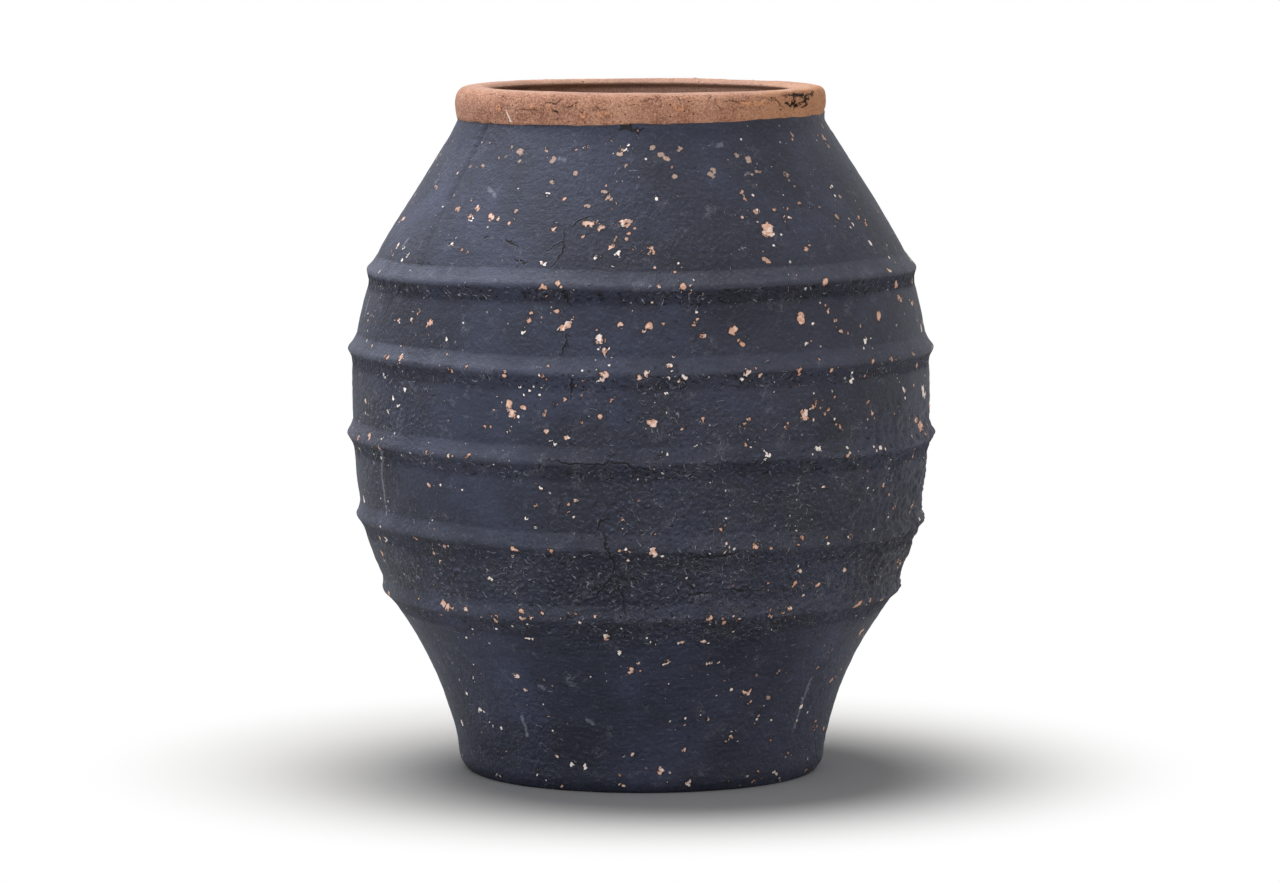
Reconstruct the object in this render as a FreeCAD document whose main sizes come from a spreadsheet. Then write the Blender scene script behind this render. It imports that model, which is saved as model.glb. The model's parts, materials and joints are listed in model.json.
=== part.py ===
import FreeCAD, Part
import os
import Sketcher

# Terracotta floor jar, built the way a large jar is built: a floor slab, a foot wall and rings of wall
# stacked on it, each ring keyed into the groove of the one below and luted with slip, a clay band laid
# over every seam of the belly, and a thick rolled rim. Millimetres, +Z up, origin at the middle of the base.

# Driving sizes: alias, value, what it measures
SIZES = [
    ("floor_thickness", 20.0, "clay slab that the jar stands on"),
    ("heel_tuck", 1.8, "how far the slab draws in from the foot wall to the ground"),
    ("heel_round", 10.0, "rounding of the slab's lower edge"),
    ("drain_radius", 12.5, "drain hole through the floor"),
    ("drain_chamfer", 2.0, "wiped edge of the drain hole"),
    ("foot_radius", 134.8, "outside of the wall where it stands on the slab"),
    ("foot_height", 113.0, "floor to the first seam"),
    ("foot_hollow", 6.2, "how far the flare of the foot curves in from straight"),
    ("toe_round", 16.0, "rounded corner between wall and floor, inside"),
    ("drum_1_height", 54.0, "first seam to second"),
    ("drum_2_height", 60.0, "second seam to third"),
    ("drum_3_height", 62.0, "third seam to fourth"),
    ("drum_4_height", 58.0, "fourth seam to fifth"),
    ("drum_bulge", 0.5, "how far a drum swells out from straight between two bands"),
    ("shoulder_height", 109.0, "fifth seam to the rim"),
    ("shoulder_bulge", 1.3, "how far the shoulder swells out from straight"),
    ("shoulder_top_radius", 133.2, "outside of the shoulder under the rim"),
    ("wall", 14.0, "wall, measured straight in from the outside"),
    ("band_drop", 12.0, "band below its seam"),
    ("band_rise", 11.0, "band above its seam"),
    ("band_proud", 5.0, "crest of a band above the wall, before it is rounded"),
    ("band_crest_round", 6.0, "rounding of a band's crest"),
    ("band_edge", 0.6, "clay left at a band's upper and lower edge"),
    ("band_1_lower_radius", 179.5, "outside of the wall at the first band's lower edge"),
    ("band_1_upper_radius", 190.0, "outside of the wall at the first band's upper edge"),
    ("band_2_lower_radius", 201.7, "the same for the second band"),
    ("band_2_upper_radius", 205.2, "the same for the second band"),
    ("band_3_lower_radius", 209.9, "the same for the third band"),
    ("band_3_upper_radius", 210.9, "the same for the third band"),
    ("band_4_lower_radius", 211.1, "the same for the fourth band"),
    ("band_4_upper_radius", 208.0, "the same for the fourth band"),
    ("band_5_lower_radius", 200.0, "the same for the fifth band"),
    ("band_5_upper_radius", 193.2, "the same for the fifth band"),
    ("rim_height", 24.0, "rolled rim, seam to top"),
    ("rim_overhang", 1.6, "rim beyond the shoulder under it"),
    ("rim_swell", 0.4, "swell of the rim's side above the seam"),
    ("rim_outer_round", 12.0, "rounding of the rim's outer top edge"),
    ("rim_inner_round", 7.0, "rounding of the rim's inner top edge"),
    ("rim_width", 24.8, "rim from its outside to the throat, the narrowest part of the mouth"),
    ("throat_lift", 8.0, "throat above the rim's seam"),
    ("key_width", 6.0, "tongue of a seam at its root"),
    ("key_tip", 4.0, "tongue of a seam at its tip"),
    ("key_depth", 4.0, "tongue of a seam, root to tip"),
    ("slip_gap", 0.3, "slip between tongue and groove"),
]
BAND_COUNT = 5
QUARTER_ROUND = 0.29289322  # height of a quarter arc over its chord, for a radius of one

doc = FreeCAD.newDocument("TerracottaJar")
sheet = doc.addObject("Spreadsheet::Sheet", "Sizes")
for row, (alias, value, meaning) in enumerate(SIZES, start=1):
    sheet.set(f"A{row}", alias)
    sheet.set(f"B{row}", str(value))
    sheet.set(f"C{row}", meaning)
    sheet.setAlias(f"B{row}", alias)
doc.recompute()


def size(alias):
    return f"Sizes.{alias}"


def number(expression):
    return float(sheet.evalExpression(expression))


# Heights of the seams, from the ground up
floor_seam = size("floor_thickness")
seam_height = {1: f"{floor_seam} + {size('foot_height')}"}
for seam in range(2, BAND_COUNT + 1):
    seam_height[seam] = f"{seam_height[seam - 1]} + {size(f'drum_{seam - 1}_height')}"
rim_seam = f"{seam_height[BAND_COUNT]} + {size('shoulder_height')}"
rim_top = f"{rim_seam} + {size('rim_height')}"


def band_lower(seam):
    return size(f"band_{seam}_lower_radius"), f"{seam_height[seam]} - {size('band_drop')}"


def band_upper(seam):
    return size(f"band_{seam}_upper_radius"), f"{seam_height[seam]} + {size('band_rise')}"


def seam_radius(seam):
    # The wall is straight under a band, from the band's lower edge to its upper one
    low, high = band_lower(seam)[0], band_upper(seam)[0]
    share = f"{size('band_drop')} / ({size('band_drop')} + {size('band_rise')})"
    return f"({low} + ({high} - {low}) * {share})"


def inside(corner):
    radius, height = corner
    return f"{radius} - {size('wall')}", height


def key_corners(outer_radius, height, clearance):
    # Tongue or groove in the middle of the wall, from the inside out
    middle = f"{outer_radius} - {size('wall')} / 2"
    root = f"({size('key_width')} / 2 + {clearance})"
    tip = f"({size('key_tip')} / 2 + {clearance})"
    bottom = f"{height} - {size('key_depth')} - {clearance}"
    return [
        (f"{middle} - {root}", height),
        (f"{middle} - {tip}", bottom),
        (f"{middle} + {tip}", bottom),
        (f"{middle} + {root}", height),
    ]


def tongue(outer_radius, height):
    return key_corners(outer_radius, height, "0")


def groove(outer_radius, height):
    return key_corners(outer_radius, height, size("slip_gap"))[::-1]


def place_point(sketch, geometry, end, corner, name):
    for axis, word, expression in (("DistanceX", "radius", corner[0]), ("DistanceY", "height", corner[1])):
        if expression == "0":
            line = -2 if axis == "DistanceX" else -1
            sketch.addConstraint(Sketcher.Constraint("PointOnObject", geometry, end, line))
            continue
        distance = Sketcher.Constraint(axis, -1, 1, geometry, end, number(expression))
        index = sketch.addConstraint(distance)
        sketch.renameConstraint(index, f"{name}_{word}")
        sketch.setExpression(f"Constraints.{name}_{word}", expression)


def add_edge(sketch, start, finish, bulge, name):
    # A straight edge, or an arc that swells away from the axis by bulge (towards it where bulge is negative)
    a = FreeCAD.Vector(number(start[0]), number(start[1]), 0)
    b = FreeCAD.Vector(number(finish[0]), number(finish[1]), 0)
    if bulge is None:
        return sketch.addGeometry(Part.LineSegment(a, b)), 1, 2
    along = (b - a).normalize()
    outward = FreeCAD.Vector(along.y, -along.x, 0)
    if outward.x < 0:
        outward = -outward
    crown = (a + b) * 0.5 + outward * number(bulge)
    geometry = sketch.addGeometry(Part.Arc(a, crown, b))
    chord = f"(({start[0]} - ({finish[0]}))^2 + ({start[1]} - ({finish[1]}))^2)"
    radius = f"{chord} / (8 * abs({bulge})) + abs({bulge}) / 2"
    index = sketch.addConstraint(Sketcher.Constraint("Radius", geometry, number(radius)))
    sketch.renameConstraint(index, f"{name}_curve")
    sketch.setExpression(f"Constraints.{name}_curve", radius)
    runs_forward = (sketch.getPoint(geometry, 1) - a).Length < (sketch.getPoint(geometry, 1) - b).Length
    return (geometry, 1, 2) if runs_forward else (geometry, 2, 1)


def origin_plane(body, role):
    return next(feature for feature in body.Origin.OriginFeatures if feature.Role == role)


def turned_body(label, outline):
    # One piece turned about the jar's axis. The outline is a closed run of corners (radius, height), each
    # followed by the bulge of the edge that leaves it, where that edge is curved
    body = doc.addObject("PartDesign::Body", label)
    body.Label = label
    sketch = body.newObject("Sketcher::SketchObject", f"{label}_outline")
    sketch.AttachmentSupport = (origin_plane(body, "XZ_Plane"), [""])
    sketch.MapMode = "FlatFace"
    corners = [entry[:2] for entry in outline]
    bulges = [entry[2] if len(entry) > 2 else None for entry in outline]
    edges = []
    for i, corner in enumerate(corners):
        finish = corners[(i + 1) % len(corners)]
        edges.append(add_edge(sketch, corner, finish, bulges[i], f"edge_{i}"))
    for i, (geometry, start, finish) in enumerate(edges):
        following, following_start, _ = edges[(i + 1) % len(edges)]
        sketch.addConstraint(Sketcher.Constraint("Coincident", geometry, finish, following, following_start))
        place_point(sketch, geometry, start, corners[i], f"corner_{i}")
    turned = body.newObject("PartDesign::Revolution", f"{label}_turned")
    turned.Profile = sketch
    turned.ReferenceAxis = (sketch, ["V_Axis"])
    turned.Angle = 360.0
    doc.recompute()
    return body


def ring_edges(shape, radius, height):
    # Names of the circular edges at that radius and height
    found = []
    for i, edge in enumerate(shape.Edges, start=1):
        circle = edge.Curve
        if not isinstance(circle, Part.Circle):
            continue
        if abs(circle.Radius - radius) < 0.01 and abs(circle.Center.z - height) < 0.01:
            found.append(f"Edge{i}")
    return found


def round_ring(body, name, kind, measure, rings, expression):
    # Fillet or chamfer of whole rings, bound to a size
    dressed = body.newObject(f"PartDesign::{kind}", name)
    base = dressed.BaseFeature
    edges = [edge for radius, height in rings for edge in ring_edges(base.Shape, radius, height)]
    dressed.Base = (base, edges)
    dressed.setExpression(measure, expression)
    doc.recompute()
    return dressed


def make_floor_slab():
    foot = size("foot_radius")
    base = f"{foot} - {size('heel_tuck')}"
    outline = [("0", "0"), (base, "0"), (foot, floor_seam)]
    outline += groove(foot, floor_seam)
    outline += [("0", floor_seam)]
    body = turned_body("floor_slab", outline)
    heel = [(number(base), 0.0)]
    round_ring(body, "heel", "Fillet", "Radius", heel, f"min({size('heel_round')}; 0.7 * {floor_seam})")
    whole = body.Shape.Volume
    sketch = body.newObject("Sketcher::SketchObject", "drain_outline")
    sketch.AttachmentSupport = (origin_plane(body, "XY_Plane"), [""])
    sketch.MapMode = "FlatFace"
    radius = number(size("drain_radius"))
    circle = sketch.addGeometry(Part.Circle(FreeCAD.Vector(), FreeCAD.Vector(0, 0, 1), radius))
    sketch.addConstraint(Sketcher.Constraint("Coincident", circle, 3, -1, 1))
    index = sketch.addConstraint(Sketcher.Constraint("Radius", circle, radius))
    sketch.renameConstraint(index, "drain_radius")
    sketch.setExpression("Constraints.drain_radius", size("drain_radius"))
    drain = body.newObject("PartDesign::Pocket", "drain_hole")
    drain.Profile = sketch
    drain.Type = "ThroughAll"
    drain.Reversed = True
    doc.recompute()
    if body.Shape.Volume >= whole:
        raise RuntimeError("the drain hole cuts nothing")
    mouths = [(radius, 0.0), (radius, number(floor_seam))]
    round_ring(body, "drain_edge", "Chamfer", "Size", mouths, size("drain_chamfer"))
    return body


def make_foot_wall():
    foot, toe = size("foot_radius"), size("toe_round")
    inner_foot = f"{foot} - {size('wall')}"
    hollow = f"-{size('foot_hollow')}"
    seam = seam_radius(1), seam_height[1]
    outline = [(f"{inner_foot} - {toe}", floor_seam)]
    outline += tongue(foot, floor_seam)
    outline += [(foot, floor_seam, hollow), band_lower(1), seam]
    outline += groove(*seam)
    outline += [inside(seam), (*inside(band_lower(1)), hollow)]
    outline += [(inner_foot, f"{floor_seam} + {toe}", f"{QUARTER_ROUND} * {toe}")]
    return turned_body("foot_wall", outline)


def make_drum(below):
    # The ring of wall between the seam below and the next one up
    above = below + 1
    bulge = size("drum_bulge")
    lower_seam = seam_radius(below), seam_height[below]
    upper_seam = seam_radius(above), seam_height[above]
    outline = [inside(lower_seam)]
    outline += tongue(*lower_seam)
    outline += [lower_seam, (*band_upper(below), bulge), band_lower(above), upper_seam]
    outline += groove(*upper_seam)
    outline += [inside(upper_seam), (*inside(band_lower(above)), bulge), inside(band_upper(below))]
    return turned_body(f"drum_{below}", outline)


def make_shoulder_wall():
    bulge = size("shoulder_bulge")
    lower_seam = seam_radius(BAND_COUNT), seam_height[BAND_COUNT]
    top = size("shoulder_top_radius"), rim_seam
    outline = [inside(lower_seam)]
    outline += tongue(*lower_seam)
    outline += [lower_seam, (*band_upper(BAND_COUNT), bulge), top]
    outline += groove(*top)
    outline += [(*inside(top), bulge), inside(band_upper(BAND_COUNT))]
    return turned_body("shoulder_wall", outline)


def make_rim_roll():
    seat = size("shoulder_top_radius")
    width = size("rim_width")
    rim = f"({seat} + {size('rim_overhang')})"
    throat = f"({rim} - {width})"
    outer_round = f"min({size('rim_outer_round')}; 0.6 * {width}; 0.6 * {size('rim_height')})"
    inner_round = f"min({size('rim_inner_round')}; 0.35 * {width}; 0.35 * {size('rim_height')})"
    outline = [inside((seat, rim_seam))]
    outline += tongue(seat, rim_seam)
    outline += [
        (seat, rim_seam, size("rim_swell")),
        (rim, f"{rim_top} - {outer_round}", f"{QUARTER_ROUND} * {outer_round}"),
        (f"{rim} - {outer_round}", rim_top),
        (f"{throat} + {inner_round}", rim_top, f"-{QUARTER_ROUND} * {inner_round}"),
        (throat, f"{rim_top} - {inner_round}"),
        (throat, f"{rim_seam} + {size('throat_lift')}"),
    ]
    return turned_body("rim_roll", outline)


def make_band(seam):
    edge = size("band_edge")
    low, high = band_lower(seam), band_upper(seam)
    crest = f"{seam_radius(seam)} + {size('band_proud')}", seam_height[seam]
    outline = [low, (f"{low[0]} + {edge}", low[1]), crest, (f"{high[0]} + {edge}", high[1]), high]
    body = turned_body(f"band_{seam}", outline)
    ring = [(number(crest[0]), number(crest[1]))]
    round_ring(body, f"band_{seam}_crest", "Fillet", "Radius", ring, size("band_crest_round"))
    return body


pieces = [make_floor_slab(), make_foot_wall()]
pieces += [make_drum(seam) for seam in range(1, BAND_COUNT)]
pieces += [make_shoulder_wall(), make_rim_roll()]
pieces += [make_band(seam) for seam in range(1, BAND_COUNT + 1)]
doc.recompute()

for item in doc.Objects:
    if "Invalid" in item.State or "Error" in item.State:
        raise RuntimeError(f"{item.Label} failed: {item.State}")
for piece in pieces:
    if piece.Shape.isNull() or not piece.Shape.isValid() or len(piece.Shape.Solids) != 1:
        raise RuntimeError(f"{piece.Label} is not one valid solid")

os.makedirs("parts", exist_ok=True)
for piece in pieces:
    piece.Shape.exportStep(f"parts/{piece.Label}.step")
    top = piece.Shape.optimalBoundingBox().ZMax
    litres = piece.Shape.Volume / 1e6
    print(f"{piece.Label}: {litres:.3f} litres of clay, top at {top:.1f} mm")
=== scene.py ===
import json
import math

import bpy
import numpy as np
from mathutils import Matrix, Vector
from mathutils.bvhtree import BVHTree

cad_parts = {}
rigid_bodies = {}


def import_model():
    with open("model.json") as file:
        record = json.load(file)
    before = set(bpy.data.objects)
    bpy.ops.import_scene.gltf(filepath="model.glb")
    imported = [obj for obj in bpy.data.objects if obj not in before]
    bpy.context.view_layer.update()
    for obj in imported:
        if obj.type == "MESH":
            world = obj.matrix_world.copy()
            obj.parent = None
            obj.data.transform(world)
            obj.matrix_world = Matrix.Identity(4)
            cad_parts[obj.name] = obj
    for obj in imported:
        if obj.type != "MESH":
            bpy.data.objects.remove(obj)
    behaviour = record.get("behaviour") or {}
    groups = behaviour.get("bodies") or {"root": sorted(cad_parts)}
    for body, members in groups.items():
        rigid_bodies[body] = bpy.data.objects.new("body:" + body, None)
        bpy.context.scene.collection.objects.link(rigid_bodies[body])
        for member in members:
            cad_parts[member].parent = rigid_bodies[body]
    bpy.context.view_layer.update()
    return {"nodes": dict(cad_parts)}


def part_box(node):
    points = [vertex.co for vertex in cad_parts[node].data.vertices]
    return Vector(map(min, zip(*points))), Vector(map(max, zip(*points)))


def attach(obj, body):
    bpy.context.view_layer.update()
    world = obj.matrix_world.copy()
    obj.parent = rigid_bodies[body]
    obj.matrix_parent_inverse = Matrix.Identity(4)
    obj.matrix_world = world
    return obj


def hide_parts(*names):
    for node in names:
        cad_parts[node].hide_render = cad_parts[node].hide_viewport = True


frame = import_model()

mm = 0.001
courseNames = ["floor_slab", "foot_wall", "drum_1", "drum_2", "drum_3", "drum_4", "shoulder_wall"]
bandNames = ["band_1", "band_2", "band_3", "band_4", "band_5"]
# heights where one course meets the next, then the rim
seams = [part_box(name)[1][2] / mm for name in courseNames]
skins = {name: BVHTree.FromPolygons([v.co for v in node.data.vertices],
                                    [tuple(p.vertices) for p in node.data.polygons])
         for name, node in frame["nodes"].items()}
print("stage: frame loaded, seams at", [round(z, 1) for z in seams])

# the photograph's view, fitted to the ellipses of rim, bands and base
view = {"imageWidth": 1280, "imageHeight": 882, "axisColumn": 640.6, "focalPixels": 6182,
        "distance": 4.5, "height": 0.7, "pitch": 5.836}


def makeCamera():
    data = bpy.data.cameras.new("photoView")
    data.sensor_fit = "HORIZONTAL"
    data.sensor_width = 36
    data.lens = view["focalPixels"] * 36 / view["imageWidth"]
    data.shift_x = 0.5 - view["axisColumn"] / view["imageWidth"]
    camera = bpy.data.objects.new("photoView", data)
    camera.location = (0, -view["distance"], view["height"])
    camera.rotation_euler = (math.radians(90 - view["pitch"]), 0, 0)
    bpy.context.scene.collection.objects.link(camera)
    bpy.context.scene.camera = camera


def onPot(column, row):
    # where the photograph's ray meets the CAD skin, as angle from the front, radius and height in mm
    pitch = math.radians(view["pitch"])
    across = (column - view["axisColumn"]) / view["focalPixels"]
    upward = (view["imageHeight"] / 2 - row) / view["focalPixels"]
    eye = Vector((0, -view["distance"], view["height"]))
    way = Vector((across, math.cos(pitch) + upward * math.sin(pitch),
                  upward * math.cos(pitch) - math.sin(pitch)))
    hits = [skin.ray_cast(eye, way) for skin in skins.values()]
    nearest = min((hit for hit in hits if hit[0] is not None), key=lambda hit: hit[3], default=None)
    if nearest is None:
        return None
    spot = nearest[0]
    return math.atan2(spot.x, -spot.y), spot.xy.length / mm, spot.z / mm


makeCamera()
print("stage: camera set")

turns = 880  # columns of every ring
angles = np.linspace(-math.pi, math.pi, turns, endpoint=False)  # 0 faces the camera, a quarter turn is +X


def spin(radius, height):
    return np.stack((radius * np.sin(angles), -radius * np.cos(angles),
                     np.broadcast_to(height, radius.shape)), -1)


def allRound(values):
    # one value for each row, the same all round the pot
    return np.asarray(values, float)[:, None] + np.zeros(turns)


def skinRadius(name, height, outward):
    way = Vector((math.cos(0.3), math.sin(0.3), 0))
    start = Vector((0, 0, height * mm)) + way * (0 if outward else 0.6)
    return skins[name].ray_cast(start, way if outward else -way)[0].xy.length / mm


def soften(row, spread, wrap):
    # a row of values run together over spread neighbours
    reach = int(spread * 3) + 1
    weight = np.exp(-0.5 * (np.arange(-reach, reach + 1) / spread) ** 2)
    padded = np.pad(row, reach, mode="wrap" if wrap else "edge")
    return np.convolve(padded, weight / weight.sum(), mode="valid")


levels = np.arange(0.5, seams[-1], 1.5)  # the wall's outline, read off the CAD courses
courseAt = [courseNames[int(np.searchsorted(seams, z))] for z in levels]
outerRadii = soften(np.array([skinRadius(n, z, False) for n, z in zip(courseAt, levels)]), 2.0, False)
innerRadii = np.array([skinRadius(n, z, True) if z > seams[0] else 0 for n, z in zip(courseAt, levels)])
innerRadii[levels <= seams[0]] = innerRadii[levels > seams[0]][0]
# mm along the outline
slants = np.concatenate(([0], np.cumsum(np.hypot(np.diff(outerRadii), np.diff(levels)))))

lattices = {}


def lumps(points, size, seed, stretch=(1, 1, 1)):
    # smooth seeded bumps about size mm across, from about -1 to 1
    if seed not in lattices:
        grid = np.random.default_rng(seed).normal(size=(24, 24, 24, 3))
        lattices[seed] = grid / np.linalg.norm(grid, axis=-1, keepdims=True)
    place = points / (size * np.array(stretch)) + seed * 7.31
    cell = np.floor(place).astype(int)
    part = place - cell
    fade = part ** 3 * (part * (part * 6 - 15) + 10)
    total = np.zeros(points.shape[:-1])
    for corner in np.ndindex(2, 2, 2):
        slope = lattices[seed][tuple(np.moveaxis((cell + corner) % 24, -1, 0))]
        weight = np.prod(np.where(corner, fade, 1 - fade), axis=-1)
        total += weight * np.sum(slope * (part - corner), axis=-1)
    return total * 1.5


def step(low, high, value):
    part = np.clip((value - low) / (high - low), 0, 1)
    return part * part * (3 - 2 * part)


# how far hands, wheel and wear move the clay, in mm
clay = {"sway": 1.1, "leftTuck": 1.6, "shoulderTuck": 4.0, "swell": 0.55, "press": 0.34, "knead": 0.16,
        "wheelLine": 0.16, "grit": 0.34, "crag": 2.0, "innerRidge": 1.7, "innerRidgeEvery": 21}


def rubbedAt(points):
    # 0 where the paint lies smooth, 1 where the surface is sandy and rubbed, most of all low on the right
    angle = np.arctan2(points[..., 0], -points[..., 1])
    low = step(330, 230, points[..., 2] + 26 * lumps(points, 70, 11))
    low = low * (1 - 0.55 * step(135, 100, points[..., 2]))
    ring = np.exp(-((points[..., 2] - 160) / 28) ** 2)  # the lowest drum is rough all round
    right = step(-0.55, 0.2, angle + 0.3 * lumps(points, 60, 12)) * step(1.3, 0.5, angle)
    patch = step(0.0, 0.5, lumps(points, 120, 13))
    # painted light: the foot from the front round to the right is painted paler, as light thrown up from the
    # floor would make it
    thick = step(125, 85, points[..., 2]) * step(-0.6, 0.0, angle) * step(2.4, 1.4, angle)
    rough = low * np.maximum(np.maximum(0.8 * right, ring), 0.7 * patch) + 0.2 * patch
    return np.clip(rough, 0, 1) - 1.2 * thick


def handWork(points):
    rubbed = rubbedAt(points)
    angle, height = np.arctan2(points[..., 0], -points[..., 1]), points[..., 2]
    moved = clay["sway"] * lumps(points, 190, 1) + clay["swell"] * lumps(points, 70, 2)
    left = step(-0.6, -1.25, angle) * step(0.4, -0.4, points[..., 1] / 200)
    tuck = clay["shoulderTuck"] * step(380, 425, height) * step(478, 455, height)
    moved -= left * (clay["leftTuck"] + tuck)
    craggy = step(0.5, 1.0, angle) * step(2.3, 1.8, angle) * step(105, 150, height) * step(300, 240, height)
    moved += clay["crag"] * craggy * lumps(points, 5.5, 15)
    moved += clay["press"] * lumps(points, 26, 3) + clay["knead"] * lumps(points, 9, 4)
    moved += clay["wheelLine"] * lumps(points, 6, 5, (14, 14, 1))
    return moved + clay["grit"] * (0.25 + rubbed) * lumps(points, 4.5, 6)


def wallAt(height):
    # the worked outer skin's radius for rows of heights in mm
    radius = np.interp(height, levels, outerRadii)
    return radius + handWork(spin(radius, height))


def around(marks, spread=7):
    # a line round the pot through a few (degrees, mm) marks
    degrees, values = zip(*sorted(marks.items()))
    return soften(np.interp(np.degrees(angles), degrees, values, period=360), spread * turns / 360, True)


def ringNoise(size, seed):
    return lumps(np.stack((200 * np.sin(angles), -200 * np.cos(angles), np.full(turns, 31.0 * seed)), -1),
                 size, seed)


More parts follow.
